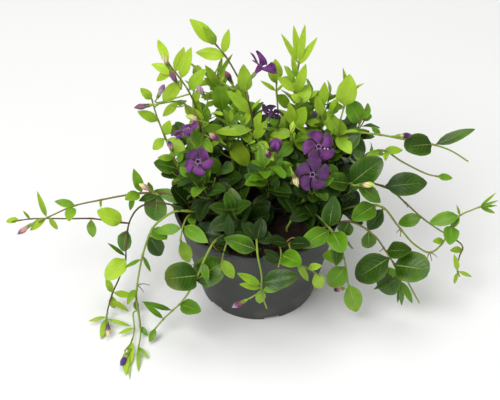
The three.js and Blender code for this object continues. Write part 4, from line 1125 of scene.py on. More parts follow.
class Surface(Tree):
    """A material in the making, with its shader and the colour that its coats build up."""

    def __init__(self, name, look, **shader):
        self.material = bpy.data.materials.new(name)
        self.material.use_nodes = True
        super().__init__(self.material.node_tree)
        self.look, self.colour = look, None
        self.shader = self.tree.nodes["Principled BSDF"]
        for label, value in shader.items():
            self.shader.inputs[label.replace("_", " ")].default_value = value

    def read(self, *names):
        """The numbers that the piece keeps under these names."""
        return [self.put("ShaderNodeAttribute", out="Fac", attribute_name=name) for name in names]

    def tint(self, name):
        return self.put("ShaderNodeAttribute", out="Color", attribute_name=name)

    def group(self, group, **inputs):
        """Places a node group and gives its two outputs."""
        inputs = {label.replace("_", " "): value for label, value in inputs.items()}
        return self.put("ShaderNodeGroup", inputs, (0, 1), node_tree=group)

    def mottle(self, patch_scale, speck_scale, contrast):
        inputs = {"Patch_scale": patch_scale, "Speck_scale": speck_scale, "Contrast": contrast}
        return self.group(mottle_group(), **inputs)

    def coat(self, paint, share=None):
        """Lays a colour over what is there, by a share that changes over the surface."""
        if not isinstance(paint, Value):
            paint = (*(getattr(self.look, paint) if isinstance(paint, str) else paint), 1.0)
        if share is None:
            self.colour = paint
        else:
            inputs = {0: share, 6: self.colour, 7: paint}
            self.colour = self.put("ShaderNodeMix", inputs, 2, data_type="RGBA")

    def finish(self, roughness, height, distance):
        """Feeds the shader, with a relief of the given depth in metres, and gives the material."""
        self.fill(self.shader.inputs["Base Color"], self.colour)
        self.fill(self.shader.inputs["Roughness"], roughness)
        inputs = {"Height": height, "Distance": distance, "Strength": 1.0}
        self.fill(self.shader.inputs["Normal"], self.put("ShaderNodeBump", inputs, "Normal"))
        return self.material


def leaf_material(look):
    """Satin green blades: dark or lime by tone, a pale midrib, faint veins and paler undersides."""
    leaf = Surface("Periwinkle leaf", look, Specular_IOR_Level=0.28)
    tone, pick, along, across, under = leaf.read("tone", "pick", "along", "across", "under")
    patches, specks = leaf.mottle(110.0, 1500.0, 1.3)
    midrib, veins = leaf.group(vein_group(), Across=across, Along=along)
    # Painted shade and light: each blade is a little darker towards its base and lighter towards its tip.
    shifted = tone + (patches - 0.5) * 0.3 + along.ramp(0.0, 0.7, -0.1, 0.04)
    leaf.coat("old_green")
    leaf.coat("middle_green", shifted.ramp(0.0, 0.5))
    leaf.coat("young_green", shifted.ramp(0.45, 1.0))
    leaf.coat("cool_green", tone.ramp(0.4, 0.1, 0.0, 0.5) * pick.ramp(0.25, 0.6))
    # Painted shade: leaves whose tone the depth inside the plant pushed below 0 darken towards the shaded
    # green.
    leaf.coat("shaded", tone.ramp(0.0, -0.3))
    leaf.coat("midrib", veins * 0.07)
    leaf.coat("faded", pick.ramp(0.9, 1.0) * along.ramp(0.5, 1.0) * 0.18)
    leaf.coat("midrib", midrib * tone.ramp(0.0, 0.2, 0.26, 0.52))
    leaf.coat("underside", under * tone.ramp(-0.2, 0.3, 0.1, 0.55))
    satin = tone.ramp(0.0, 1.0, 0.24, 0.34) + specks * 0.12
    return leaf.finish(leaf.blend(under, satin, 0.62), specks * 0.5 - (veins + midrib * 1.6), 0.00014)


def stem_material(look):
    """Smooth green stems, browner where they are old, with reddish knots at the leaves."""
    stem = Surface("Periwinkle stem", look, Specular_IOR_Level=0.4)
    tone, knot = stem.read("tone", "knot")
    patches, specks = stem.mottle(90.0, 1400.0, 1.6)
    stem.coat("old_stem")
    stem.coat("young_stem", (tone + (patches - 0.5) * 0.4).ramp(0.1, 0.75))
    stem.coat("knot", knot * patches.ramp(0.3, 0.7, 0.25, 0.8))
    return stem.finish(specks.ramp(0.2, 0.8, 0.42, 0.6), specks, 0.0001)


def petal_material(look):
    """Velvety wine-purple petals with darker streaks and a pale star round the mouth."""
    petal = Surface("Periwinkle petal", look, Specular_IOR_Level=0.25)
    out, across, under, shade = petal.read("out", "across", "under", "shade")
    patches, specks = petal.mottle(140.0, 1800.0, 1.4)
    midrib, _ = petal.group(vein_group(), Across=across, Along=out, Midrib_width=0.16)
    fan = abs(petal.math("FRACT", across * 4.0) - 0.5)
    streak = fan.ramp(0.0, 0.2, 1.0, 0.0) * out.ramp(0.9, 0.2)
    petal.coat("deep")
    petal.coat("bright", patches.ramp(0.25, 0.75))
    petal.coat("deep", streak * 0.35)
    petal.coat("star", midrib * out.ramp(0.3, 0.06, 0.0, 0.6))
    petal.coat("star", out.ramp(0.03, 0.0, 0.0, 0.5))
    petal.coat("reverse", under * 0.35)
    # Painted shade: each flower's shade number darkens its petals towards a dark purple.
    petal.coat("dusky", shade)
    return petal.finish(specks.ramp(0.2, 0.8, 0.5, 0.7), streak + specks, 0.0001)


def tube_material(look):
    """The flower's tube: greenish at its foot and purple towards the mouth, where it turns pale."""
    tube = Surface("Flower tube", look, Specular_IOR_Level=0.25)
    along, rim, stripe, shade = tube.read("along", "rim", "stripe", "shade")
    patches, specks = tube.mottle(200.0, 1800.0, 1.4)
    tube.coat("tube_foot")
    tube.coat("reverse", along.ramp(0.05, 0.5))
    tube.coat("deep", patches.ramp(0.5, 0.8) * 0.3)
    tube.coat("bright", along.ramp(0.5, 0.75, 0.0, 0.8))
    tube.coat("deep", stripe * along.ramp(0.3, 0.6, 0.0, 0.8))
    # Painted shade: each flower's shade number darkens its tube towards a dark purple.
    tube.coat("dusky", shade)
    tube.coat("star", rim.ramp(0.4, 0.9, 0.0, 0.7))
    return tube.finish(specks.ramp(0.2, 0.8, 0.5, 0.7), specks, 0.0001)


def bud_material(look):
    """Furled buds that change from foot to middle to tip, with painted shade in the furrows of their twist.
    """
    bud = Surface("Furled bud", look, Specular_IOR_Level=0.3)
    along, stripe = bud.read("along", "stripe")
    patches, specks = bud.mottle(260.0, 1800.0, 1.4)
    along = along + (patches - 0.5) * 0.25
    bud.coat(bud.tint("foot"))
    bud.coat(bud.tint("middle"), along.ramp(0.12, 0.4))
    bud.coat(bud.tint("tip"), along.ramp(0.5, 0.85))
    # Painted shade: the furrows of the twist are darkened towards the dark maroon, less towards the tip.
    bud.coat("shadow", stripe.ramp(0.55, 1.0) * along.ramp(1.0, 0.5, 0.15, 0.5))
    return bud.finish(specks.ramp(0.2, 0.8, 0.42, 0.6), specks, 0.0001)


def plastic_material(look):
    """Matte moulded plastic with a fine grain, faint scuffs, and dust that gathers low down."""
    pot = Surface("Pot plastic", look, Specular_IOR_Level=0.35)
    patches, specks = pot.mottle(35.0, 2200.0, 1.2)
    height = pot.parts(pot.place())[2]
    low = height.ramp(0.03, 0.0) * patches.ramp(0.35, 0.75)
    pot.coat("plastic")
    pot.coat("plastic_worn", specks * 0.3)
    pot.coat("dust", low * 0.5 + patches.ramp(0.5, 0.95) * 0.25)
    return pot.finish(patches.ramp(0.2, 0.8, 0.46, 0.62), specks, 0.00008)


def earth_material(look, name, dark, light):
    """Damp peaty soil, or the dry bits in it, crumbly at every scale."""
    earth = Surface(name, look, Specular_IOR_Level=0.2)
    patches, specks = earth.mottle(140.0, 1400.0, 1.8)
    spread = patches * 0.6 + specks * 0.4
    earth.coat(dark)
    earth.coat(light, spread.ramp(0.3, 0.75))
    return earth.finish(spread.ramp(0.3, 0.8, 0.75, 0.98), patches + specks, 0.0006)


def paper_material(look):
    """Pale matte studio paper, faintly uneven."""
    paper = Surface("Pale studio paper", look, Specular_IOR_Level=0.2, Roughness=0.8)
    patches, _ = paper.mottle(3.0, 500.0, 1.0)
    paper.coat("floor")
    paper.coat([c * 0.985 for c in look.floor], patches)
    paper.fill(paper.shader.inputs["Base Color"], paper.colour)
    return paper.material


# Geometry nodes.


class Shape(Group):
    """A geometry tree that takes a geometry in and gives one out."""

    def __init__(self, name, **inputs):
        inputs = {label.replace("_", " "): value for label, value in inputs.items()}
        inputs = {"Geometry": "Geometry", **inputs}
        super().__init__(name, "GeometryNodeTree", inputs, ("Geometry",), "Geometry")

    def make(self, kind, out=0, settings=(), **inputs):
        """Adds a geometry node. The names of its inputs have _ for each space."""
        inputs = {label.replace("_", " "): value for label, value in inputs.items()}
        return self.put("GeometryNode" + kind, inputs, out, **dict(settings))

    def read(self, *names, kind="FLOAT"):
        """What the geometry keeps under these names."""
        settings = {"data_type": kind}
        return [self.make("InputNamedAttribute", "Attribute", settings, Name=name) for name in names]

    def keep(self, geometry, name, value):
        settings = {"data_type": "FLOAT", "domain": "POINT"}
        inputs = {"Geometry": geometry, "Name": name, "Value": value}
        return self.make("StoreNamedAttribute", 0, settings, **inputs)

    def vector(self, x=0.0, y=0.0, z=0.0):
        return self.put("ShaderNodeCombineXYZ", {0: x, 1: y, 2: z})

    def scaled(self, direction, amount):
        inputs = {0: direction, "Scale": amount}
        return self.put("ShaderNodeVectorMath", inputs, operation="SCALE")

    def joined(self, *geometries):
        """Joins geometries. The last one comes first in the mesh."""
        made = self.tree.nodes.new("GeometryNodeJoinGeometry")
        for geometry in geometries:
            self.fill(made.inputs[0], geometry)
        return Value(self, made.outputs[0])

    def moved(self, geometry, **where):
        return self.make("SetPosition", Geometry=geometry, **where)

    def finished(self, geometry, finish):
        return self.make("SetMaterial", Geometry=geometry, Material=self[finish])

    def smooth(self, geometry, angle):
        """Smooth faces, with edges sharper than an angle left crisp."""
        every = {"Geometry": geometry, "Shade_Smooth": True}
        geometry = self.make("SetShadeSmooth", 0, {"domain": "FACE"}, **every)
        settings = {"data_type": "FLOAT", "operation": "GREATER_THAN"}
        turn = self.make("InputMeshEdgeAngle")
        sharp = self.put("FunctionNodeCompare", {0: turn, 1: angle}, **settings)
        inputs = {"Geometry": geometry, "Selection": sharp, "Shade_Smooth": False}
        return self.make("SetShadeSmooth", 0, {"domain": "EDGE"}, **inputs)

    def outline(self, along, stops):
        """A curve through (share, height) points."""
        curve = self.put("ShaderNodeFloatCurve", {"Value": along})
        mapping = curve.socket.node.mapping
        points = mapping.curves[0].points
        for _ in range(len(stops) - 2):
            points.new(0.5, 0.5)
        for point, stop in zip(points, stops):
            point.location = stop
        mapping.update()
        return curve

    def blade(self, columns, rows):
        """One flat blade, a unit long and a unit wide, as a closed skin of two sheets."""
        sizes = {"Size_X": 2.0, "Size_Y": 1.0, "Vertices_X": columns, "Vertices_Y": rows}
        grid = self.make("MeshGrid", **sizes)
        x, y, _ = self.parts(self.make("InputPosition"))
        even = y + 0.5
        eased = 0.5 - self.math("COSINE", even * math.pi) * 0.5
        grid = self.keep(grid, "along", self.blend(0.6, even, eased))
        grid = self.keep(grid, "across", x)
        along, across, reach = self.read("along", "across", "reach")
        for label, stops in (("reach", POINTED_LEAF), ("round_reach", ROUND_LEAF)):
            grid = self.keep(grid, label, self.outline(along, stops) * (across * 0.5))
        inner, ends = 1.0 - across**4.0, 1.0 - ((along - 0.5) * 2.0) ** 4.0
        plump = inner * ends * (self["Leaf thickness"] * 0.5)
        upper, lower = [
            self.moved(self.keep(grid, "under", under), Position=self.vector(reach, along, plump * sign))
            for under, sign in ((0.0, 1.0), (1.0, -1.0))
        ]
        skin = self.joined(self.make("FlipFaces", Mesh=lower), upper)
        return self.make("MergeByDistance", Geometry=skin, Distance=1e-5)


@made_once("Leafy stem")
def leafy_tree(name):
    """Stems along the source's edges, and a blade at each of its loose points.

    An edge's ends carry girth, tone and knot. A loose point carries the way ahead and the face of
    its leaf, its length, width, bend and twist, and its tone and pick.
    """
    tree = Shape(
        name, Stem_sides=8, Leaf_thickness=0.0004, Leaf_fold=0.3, Edge_wave=0.03, Stem="Material",
        Leaf="Material",
    )
    (is_leaf,) = tree.read("is_leaf", kind="BOOLEAN")
    inputs = {"Geometry": tree["Geometry"], "Selection": is_leaf}
    loose, edges = tree.make("SeparateGeometry", (0, 1), {"domain": "POINT"}, **inputs)
    girth, long, wide, bend, twist, pick = tree.read("girth", "long", "wide", "bend", "twist", "pick")
    line = tree.make("MeshToCurve", Mesh=edges)
    ring = tree.make("CurvePrimitiveCircle", Resolution=tree["Stem sides"], Radius=1.0)
    tubes = tree.make("CurveToMesh", Curve=line, Profile_Curve=ring, Scale=girth, Fill_Caps=True)
    tubes = tree.smooth(tree.finished(tubes, "Stem"), math.radians(50))

    ahead, face = tree.read("ahead", "face", kind="FLOAT_VECTOR")
    axes = {"primary_axis": "Y", "secondary_axis": "Z"}
    turned = tree.put("FunctionNodeAxesToRotation", {0: ahead, 1: face}, **axes)
    spots = tree.make("MeshToPoints", Mesh=loose)
    plain, fine = [
        tree.make(
            "InstanceOnPoints", Points=spots, Instance=tree.blade(*points), Rotation=turned,
            Scale=tree.vector(wide, long, 1.0), Selection=chosen,
        )
        for points, chosen in ((PLAIN_BLADE, wide < WIDE_LEAF), (FINE_BLADE, wide > WIDE_LEAF))
    ]
    blades = tree.make("RealizeInstances", Geometry=tree.joined(plain, fine))

    along, across, under = tree.read("along", "across", "under")
    reach, round_reach, roundness = tree.read("reach", "round_reach", "round")
    half = abs(reach * wide)
    fold = half * tree["Leaf fold"] * (1.0 - abs(across) * 0.35)
    drop = bend * long * along**2.0
    phase = along * 11.0 + pick * 40.0 + across
    wave = tree.math("SINE", phase) * (half * tree["Edge wave"])
    skew = twist * along * (reach * wide)
    rise = (fold - drop) + (wave + skew)
    aside = tree.put("ShaderNodeVectorMath", {0: ahead, 1: face}, operation="CROSS_PRODUCT")
    widening = (round_reach - reach) * roundness * wide
    shift = tree.scaled(face, rise)
    for way, amount in ((ahead, bend * 2.0 * along * fold), (aside, widening)):
        inputs = {0: shift, 1: tree.scaled(way, amount)}
        shift = tree.put("ShaderNodeVectorMath", inputs, operation="ADD")
    blades = tree.moved(blades, Offset=shift)
    height = tree.parts(tree.make("InputPosition"))[2]
    below = (0.0007 - under * 0.0004) - height
    blades = tree.moved(blades, Offset=tree.vector(z=tree.math("MAXIMUM", below, 0.0)))
    blades = tree.finished(tree.smooth(blades, math.radians(110)), "Leaf")
    tree["Geometry"] = tree.joined(tubes, blades)
    return tree.tree


@made_once("Crumbly soil")
def soil_tree(name):
    """A lumpy bed with crumbs of several sizes strewn over its top."""
    tree = Shape(
        name, Lump_height=0.0018, Crumb_size=0.0012, Crumbs_per_area=110000.0, Seed=5, Soil="Material",
        Pale_bits="Material",
    )
    (top,) = tree.read("top")
    inputs = {"Scale": 95.0, "Detail": 5.0, "Roughness": 0.65}
    noise = tree.put("ShaderNodeTexNoise", inputs)
    lift = (noise - 0.5) * tree["Lump height"] * 2.0 * top
    bed = tree.moved(tree["Geometry"], Offset=tree.vector(z=lift))
    bed = tree.make("SetShadeSmooth", 0, {"domain": "FACE"}, Geometry=bed, Shade_Smooth=True)
    bed = tree.finished(bed, "Soil")
    ball = tree.make("MeshIcoSphere", Radius=1.0, Subdivisions=1)
    layers = [bed]
    for step, (share, size, finish, squash) in enumerate(CRUMBS):
        spots = tree.make(
            "DistributePointsOnFaces", 0, {"distribute_method": "RANDOM"}, Mesh=bed, Selection=top > 0.9,
            Density=tree["Crumbs per area"] * share, Seed=tree["Seed"] + float(step),
        )
        low, high = 0.3 * size, 0.95 * size
        turn, girth = [
            tree.put("FunctionNodeRandomValue", inputs, data_type="FLOAT_VECTOR")
            for inputs in (
                {1: (6.3, 6.3, 6.3), "Seed": 20 + step},
                {0: (low, low, low * squash), 1: (high, high, high * squash), "Seed": 40 + step},
            )
        ]
        size_here = tree.scaled(girth, tree["Crumb size"])
        inputs = {"Points": spots, "Instance": ball, "Rotation": turn, "Scale": size_here}
        crumbs = tree.make("RealizeInstances", Geometry=tree.make("InstanceOnPoints", **inputs))
        layers.append(tree.finished(crumbs, finish))
    tree["Geometry"] = tree.joined(*reversed(layers))
    return tree.tree


@made_once("Notched foot")
def pot_tree(name):
    """Cuts the notches of the foot ring and the drain holes behind them out of the turned pot."""
    tree = Shape(
        name, Count=6, First_angle=-1.3352, Notch_width=0.0125, Notch_height=0.003, Drain_radius=0.004,
        Drain_circle=0.028, Plastic="Material",
    )
    size = tree.vector(0.014, tree["Notch width"], tree["Notch height"] * 2.0)
    box = tree.make("Transform", Geometry=tree.make("MeshCube", Size=size), Translation=(0.042, 0, 0))
    hole = tree.make("MeshCylinder", "Mesh", Vertices=24, Radius=tree["Drain radius"], Depth=0.018)
    hole = tree.make("Transform", Geometry=hole, Translation=tree.vector(tree["Drain circle"]))
    angle = tree.make("InputIndex") * (2 * math.pi / tree["Count"]) + tree["First angle"]
    inputs = {
        "Points": tree.make("Points", Count=tree["Count"]), "Instance": tree.joined(box, hole),
        "Rotation": tree.put("FunctionNodeEulerToRotation", {0: tree.vector(z=angle)}),
    }
    cuts = tree.make("RealizeInstances", Geometry=tree.make("InstanceOnPoints", **inputs))
    settings = {"operation": "DIFFERENCE", "solver": "EXACT"}
    pot = tree.make("MeshBoolean", 0, settings, Mesh_1=tree["Geometry"], Mesh_2=cuts)
    tree["Geometry"] = tree.finished(tree.smooth(pot, math.radians(28)), "Plastic")
    return tree.tree


# Making the pieces.


def mesh_object(name, points, edges=(), faces=(), **numbers):
    """A mesh object from points in millimetres, with numbers or vectors kept at its points."""
    mesh = bpy.data.meshes.new(name)
    mesh.from_pydata([Vector(p) * MM for p in points], edges, faces)
    for label, values in numbers.items():
        first = values[0] if values else 0.0
        if hasattr(first, "__len__"):
            layer = mesh.attributes.new(label, "FLOAT_VECTOR", "POINT")
            layer.data.foreach_set("vector", [c for v in values for c in v])
        else:
            kind = "BOOLEAN" if isinstance(first, bool) else "FLOAT"
            mesh.attributes.new(label, kind, "POINT").data.foreach_set("value", values)
    return placed(name, mesh)


def placed(name, data):
    """A new object in the scene."""
    piece = bpy.data.objects.new(name, data)
    bpy.context.scene.collection.objects.link(piece)
    return piece


def grown(source, tree, name, **inputs):
    """Runs a geometry tree on a source object and gives the result as a plain piece."""
    modifier = source.modifiers.new(tree.name, "NODES")
    modifier.node_group = tree
    sockets = {i.name: i.identifier for i in tree.interface.items_tree if i.in_out == "INPUT"}
    for label, value in inputs.items():
        modifier[sockets[label.replace("_", " ")]] = value
    graph = bpy.context.evaluated_depsgraph_get()
    done = source.evaluated_get(graph)
    mesh = bpy.data.meshes.new_from_object(done, preserve_all_data_layers=True, depsgraph=graph)
    bpy.data.objects.remove(source)
    if not mesh.polygons:
        raise RuntimeError(f"{name} came out empty")
    mesh.name = name
    return placed(name, mesh)


def dress(piece, node, slot=None):
    """Lets a finished piece ride on the part and stand for its node."""
    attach(piece, "root")
    if node:
        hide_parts(node)
    slot or SLOTS[node]


def turns(sides):
    return [2 * math.pi * k / sides for k in range(sides)]


def ring_faces(rings, sides):
    """The faces of a closed skin over rings of points."""
    faces = []
    for i in range(rings - 1):
        for k in range(sides):
            a, b = i * sides + k, i * sides + (k + 1) % sides
            faces.append((a, b, b + sides, a + sides))
    faces.append(tuple(reversed(range(sides))))
    faces.append(tuple(range((rings - 1) * sides, rings * sides)))
    return faces


def spun(name, profile, sides, **numbers):
    """A closed skin from (radius, height) points turned about the upright axis."""
    points = [(r * math.cos(turn), r * math.sin(turn), z) for r, z in profile for turn in turns(sides)]
    return mesh_object(name, points, (), ring_faces(len(profile), sides), **numbers)


class StemSource:
    """Collects the edges and loose points that the leafy tree reads."""

    BLANKS = {
        "girth": 0.0, "tone": 0.0, "knot": 0.0, "is_leaf": False, "ahead": tuple(UP), "face": tuple(UP),
        "long": 0.0, "wide": 0.0, "bend": 0.0, "twist": 0.0, "pick": 0.0, "round": 0.0,
    }

    def __init__(self):
        self.points, self.edges = [], []
        self.rows = {key: [] for key in self.BLANKS}

    def add(self, point, **values):
        self.points.append(point)
        for key, row in self.rows.items():
            row.append(values.get(key, self.BLANKS[key]))

    def line(self, stops):
        """Joins points, each with its girth, tone and knot, into one line."""
        for i, (point, girth, tone, knot) in enumerate(stops):
            self.add(point, girth=girth * MM, tone=tone, knot=knot)
            if i:
                self.edges.append((len(self.points) - 2, len(self.points) - 1))

    def leaf(self, root, ahead, face, long, wide, bend, twist, pick, tone):
        """One leaf. It is the rounder, the wider it is for its length."""
        self.add(
            root, is_leaf=True, ahead=tuple(ahead), face=tuple(face), long=long * MM, wide=wide * MM,
            bend=bend, twist=twist, pick=pick, tone=tone, round=clamp((wide / long - 0.5) / 0.25),
        )

    def grow(self, name, stem, leaf, **inputs):
        source = mesh_object(name + "_lines", self.points, self.edges, (), **self.rows)
        return grown(source, leafy_tree(), name, Stem=stem, Leaf=leaf, **inputs)


def stem_line(source, twig, knots):
    """The rod of a twig, a little thicker and redder at each of its leaves."""
    way = twig.way
    green, red = twig.bark
    count = max(6, round(way.length / ROD_STEP))
    stops = [(Vector(twig.foot), twig.thick, 0.0, red)] if twig.foot else []
    for i in range(count + 1):
        share = i / count
        away = ((share - k) * way.length / KNOT_LENGTH for k in knots)
        near = max((math.exp(-(far**2)) for far in away), default=0.0)
        girth = SLIMMER * (twig.thick + (twig.thin - twig.thick) * share) * (1 + 0.35 * near)
        stops.append((way.smooth(share), girth, green + 0.3 * (share - 0.4), max(red, 0.8 * near)))
    source.line(stops)


def rootlets(source, root, reaches):
    """Thin reddish rootlets that arch out of a bare node."""
    for reach in reaches:
        tip = Vector(reach)
        arch = Route([root, root + tip * 0.5 + UP * 0.15 * tip.length, root + tip])
        source.line([(arch.smooth(i / 6), 0.42 - 0.2 * i / 6, 0.35, 1.0) for i in range(7)])


def head_stalk(source, base, facing, root):
    """The stalk of a flower or bud, the green cup that holds it and the cup's five teeth."""
    cup = base - facing * (GAP + CALYX_LENGTH)
    way = Route([root, cup - facing * 4, cup])
    stops = [(way.smooth(i / 10), 0.62 - 0.1 * i / 10, 0.75, 0.0) for i in range(11)]
    for rise, girth in ((0.5, 0.85), (1.4, 1.15), (CALYX_LENGTH, 1.3)):
        stops.append((cup + facing * rise, girth, 0.7, 0.3))
    source.line(stops)
    for i, turn in enumerate(turns(5)):
        out = Quaternion(facing, turn) @ side_of(facing)
        ahead = (facing + out * 0.22).normalized()
        tooth = cup + facing * 1.3 + out * 0.75
        source.leaf(tooth, ahead, out, TOOTH_LENGTH, TOOTH_WIDTH, 0.08, 0.0, 0.3 + 0.1 * i, 0.62)


def leaf_mark(source, twig, leaf):
    """One leaf, with its root moved from the straight stretch to the smooth stem, its tip kept.

    Leaves deep inside the plant are darkened with painted shade.
    """
    root = leaf.root + twig.way.smooth(leaf.share) - twig.way.at(leaf.share)
    run = random_from(leaf.seed + 5)
    pick, twist = next(run), 0.5 * (next(run) - 0.5)
    straight = leaf.root + leaf.ahead * leaf.long - root
    ahead = straight.normalized()
    # Painted shade: the lower and nearer the middle a leaf's root is, the more its tone drops, down to
    # below 0.
    inside = clamp((SHADE_HEIGHT - root.z) / SHADE_DEPTH)
    inside *= clamp((SHADE_RADIUS - root.xy.length) / SHADE_WIDTH)
    tone = twig.tone + 0.4 * (leaf.age - 0.5) + 0.42 * (pick - 0.5) - 0.45 * inside
    tone = clamp(leaf.tone or tone, -0.3)
    face, wide = square_to(ahead, leaf.face), 1.08 * leaf.wide
    source.leaf(root, ahead, face, straight.length, wide, leaf.bend, twist, pick, tone)


def pot_outside(height):
    """The radius of the pot's outside at a height."""
    return FOOT_RADIUS + POT_FLARE * height / POT_HEIGHT


class PERIWINKLE_OT_pot(bpy.types.Operator):
    """Turn the pot and cut the notches of its foot"""

    bl_idname = "periwinkle.pot"
    bl_label = "Pot"

    def execute(self, context):
        look = context.scene.periwinkle_pot
        top, wall = POT_TOP / MM, look.wall / MM
        band = top - look.rim_band / MM
        foot = [(0.4, 3), (36.6, 3), (37, 2.6), (37, 0.3), (37.3, 0), (44.6, 0), (45, 0.4)]
        outside = [(pot_outside(z), z) for z in (6, 25, 45, 65, band - 0.6)]
        rim = [
            (pot_outside(band) + 0.1, band - 0.1), (pot_outside(top) + 0.5, band + 0.4), (65, band + 1),
            (65, top - 0.6), (64.6, top - 0.1), (64.2, top), (pot_outside(top) - wall + 0.5, top),
            (pot_outside(top) - wall, top - 0.5),
        ]
        inside = [(pot_outside(z) - wall, z) for z in (65, 40, 8)]
        bottom = [(pot_outside(5) - wall - 1.5, 5), (0.4, 5)]
        source = spun("pot_blank", foot + outside + rim + inside + bottom, POT_SIDES)
        inputs = {"Plastic": plastic_material(look), "Notch_width": look.notch_width}
        dress(grown(source, pot_tree(), "nursery_pot", **inputs), "pot")
        return {"FINISHED"}


class PERIWINKLE_OT_soil(bpy.types.Operator):
    """Fill the pot with crumbly soil"""

    bl_idname = "periwinkle.soil"
    bl_label = "Soil"

    def execute(self, context):
        look = context.scene.periwinkle_soil
        side = [(pot_outside(z) - SOIL_INSET, z) for z in (SOIL_BOTTOM, 40, 70, SOIL_EDGE)]
        rings = [(0.3, SOIL_BOTTOM), (30, SOIL_BOTTOM), *side]
        tops = [0.0] * len(rings) + [1.0] * SOIL_RINGS
        for i in range(SOIL_RINGS):
            share = 1 - i / SOIL_RINGS
            height = SOIL_TOP + 3 * (1 - share) - 1.6 * share**8
            rings.append((share * (side[-1][0] - 0.5), height))
        tops = [top for top in tops for _ in range(SOIL_SIDES)]
        soil = grown(
            spun("soil_bed", rings, SOIL_SIDES, top=tops), soil_tree(), "potting_soil",
            Crumb_size=look.crumb_size, Crumbs_per_area=look.crumbs,
            Soil=earth_material(look, "Damp soil", "dark", "light"),
            Pale_bits=earth_material(look, "Pale soil bits", "light", "pale"),
        )
        dress(soil, "soil")
        return {"FINISHED"}


class PERIWINKLE_OT_litter(bpy.types.Operator):
    """Lay dry roots and twigs on the soil"""

    bl_idname = "periwinkle.litter"
    bl_label = "Dry roots"

    def execute(self, context):
        source = StemSource()
        for i, route in enumerate(LITTER):
            way = Route(route)
            source.line([(way.smooth(k / 9), 0.75 - 0.3 * k / 9, 0.5, 0.0) for k in range(10)])
            if i < FORKED:
                fork = way.smooth(0.5)
                ends = (0, 0, 0), (2.5 - i, 1.5, 1.2), (4.5 - 2 * i, 2 - i, 2.2)
                girths = 0.35, 0.3, 0.2
                source.line([(fork + Vector(end), girth, 0.5, 0.0) for end, girth in zip(ends, girths)])
        source.leaf(*DEAD_LEAF, 7, 3.4, 0.2, 0.3, 0.5, 0.5)
        finish = earth_material(context.scene.periwinkle_soil, "Dry root", "root", "pale")
        dress(source.grow("dry_roots", finish, finish), None, "soil")
        return {"FINISHED"}


class PERIWINKLE_OT_stems(bpy.types.Operator):
    """Grow every stem with its leaves, stalks and calyces"""

    bl_idname = "periwinkle.stems"
    bl_label = "Leafy stems"

    def execute(self, context):
        look = context.scene.periwinkle_leaves
        green, bark = leaf_material(look), stem_material(look)
        sizes = {"Leaf_thickness": look.thickness, "Leaf_fold": look.fold, "Edge_wave": look.wave}
        for stem in plant_layout(look.extra_leaves):
            source = StemSource()
            main = stem.twigs[0]
            for t, twig in enumerate(stem.twigs):
                knots = [leaf.share for leaf in stem.leaves if leaf.twig == t]
                stem_line(source, twig, knots + [share for share, *_ in twig.bare])
            for share, *reaches in main.bare:
                rootlets(source, main.way.smooth(share), reaches)
            for head in stem.heads:
                head_stalk(source, *head)
            for leaf in stem.leaves:
                leaf_mark(source, stem.twigs[leaf.twig], leaf)
            dress(source.grow("leafy_" + stem.name, bark, green, **sizes), "stem_" + stem.name)
        return {"FINISHED"}


def petal_skin(centre, facing, turn, radius, flare, k):
    """One slant-cut petal as a closed skin of two sheets, wider towards its end."""
    across = side_of(facing)
    other = facing.cross(across)
    middle = turn + 2 * math.pi * (k + 0.5) / 5
    points, faces, outs, sides, unders = [], [], [], [], []
    run = random_from(90 + 17 * k + round(100 * turn))
    reach, droop, lift = 0.96 + 0.1 * next(run), 0.4 + 1.3 * next(run), 0.8 * next(run)
    row, sheet = PETAL_COLUMNS + 1, (PETAL_ROWS + 1) * (PETAL_COLUMNS + 1)
    for under, i, j in itertools.product((0, 1), range(PETAL_ROWS + 1), range(row)):
        s, t = i / PETAL_ROWS, 2 * j / PETAL_COLUMNS - 1
        cut = 0.93 + 0.13 * t - 0.05 * t**2 - 0.12 * abs(t) ** 6
        r = MOUTH_RADIUS + s * (radius * reach * cut - MOUTH_RADIUS)
        angle = middle + (0.4 + 0.27 * s) * t + 0.1 * s
        arch = (0.3 + lift) * math.sin(3.2 * s) * (1 - 0.6 * t * t)
        rise = flare * max(0, r - 3) + 0.08 * r * t * s + arch
        rise += 0.45 * math.sin(6 * s + 4 * t + 2 * k) * s * t * t - droop * s**3
        bulge = PETAL_BULGE * (1 - t**4) * (1 - (2 * s - 1) ** 6)
        rise += -bulge if under else bulge
        out = (across * math.cos(angle) + other * math.sin(angle)) * r
        points.append(centre + out + facing * rise)
        outs.append(s)
        sides.append(t)
        unders.append(float(under))
    for i, j in itertools.product(range(PETAL_ROWS), range(PETAL_COLUMNS)):
        a = i * row + j
        faces.append((a, a + row, a + row + 1, a + 1))
        faces.append((a + sheet, a + sheet + 1, a + sheet + row + 1, a + sheet + row))
    return points, faces, {"out": outs, "across": sides, "under": unders}


def round_skin(start, facing, stops, twist=0.0, lobes=0, depth=0.0):
    """A closed skin of revolution along a direction. stops are (distance along, radius)."""
    side = side_of(facing)
    other = facing.cross(side)
    points, along, stripe = [], [], []
    low, high = min(d for d, _ in stops), max(d for d, _ in stops)
    for distance, radius in stops:
        share = (distance - low) / (high - low)
        for turn in turns(FLOWER_SIDES):
            ridge = math.cos(lobes * turn) if lobes else 0.0
            angle = turn + twist * share
            out = (side * math.cos(angle) + other * math.sin(angle)) * (radius * (1 + depth * ridge))
            points.append(start + facing * distance + out)
            along.append(share)
            stripe.append(0.5 - 0.5 * ridge)
    return points, ring_faces(len(stops), FLOWER_SIDES), {"along": along, "stripe": stripe}


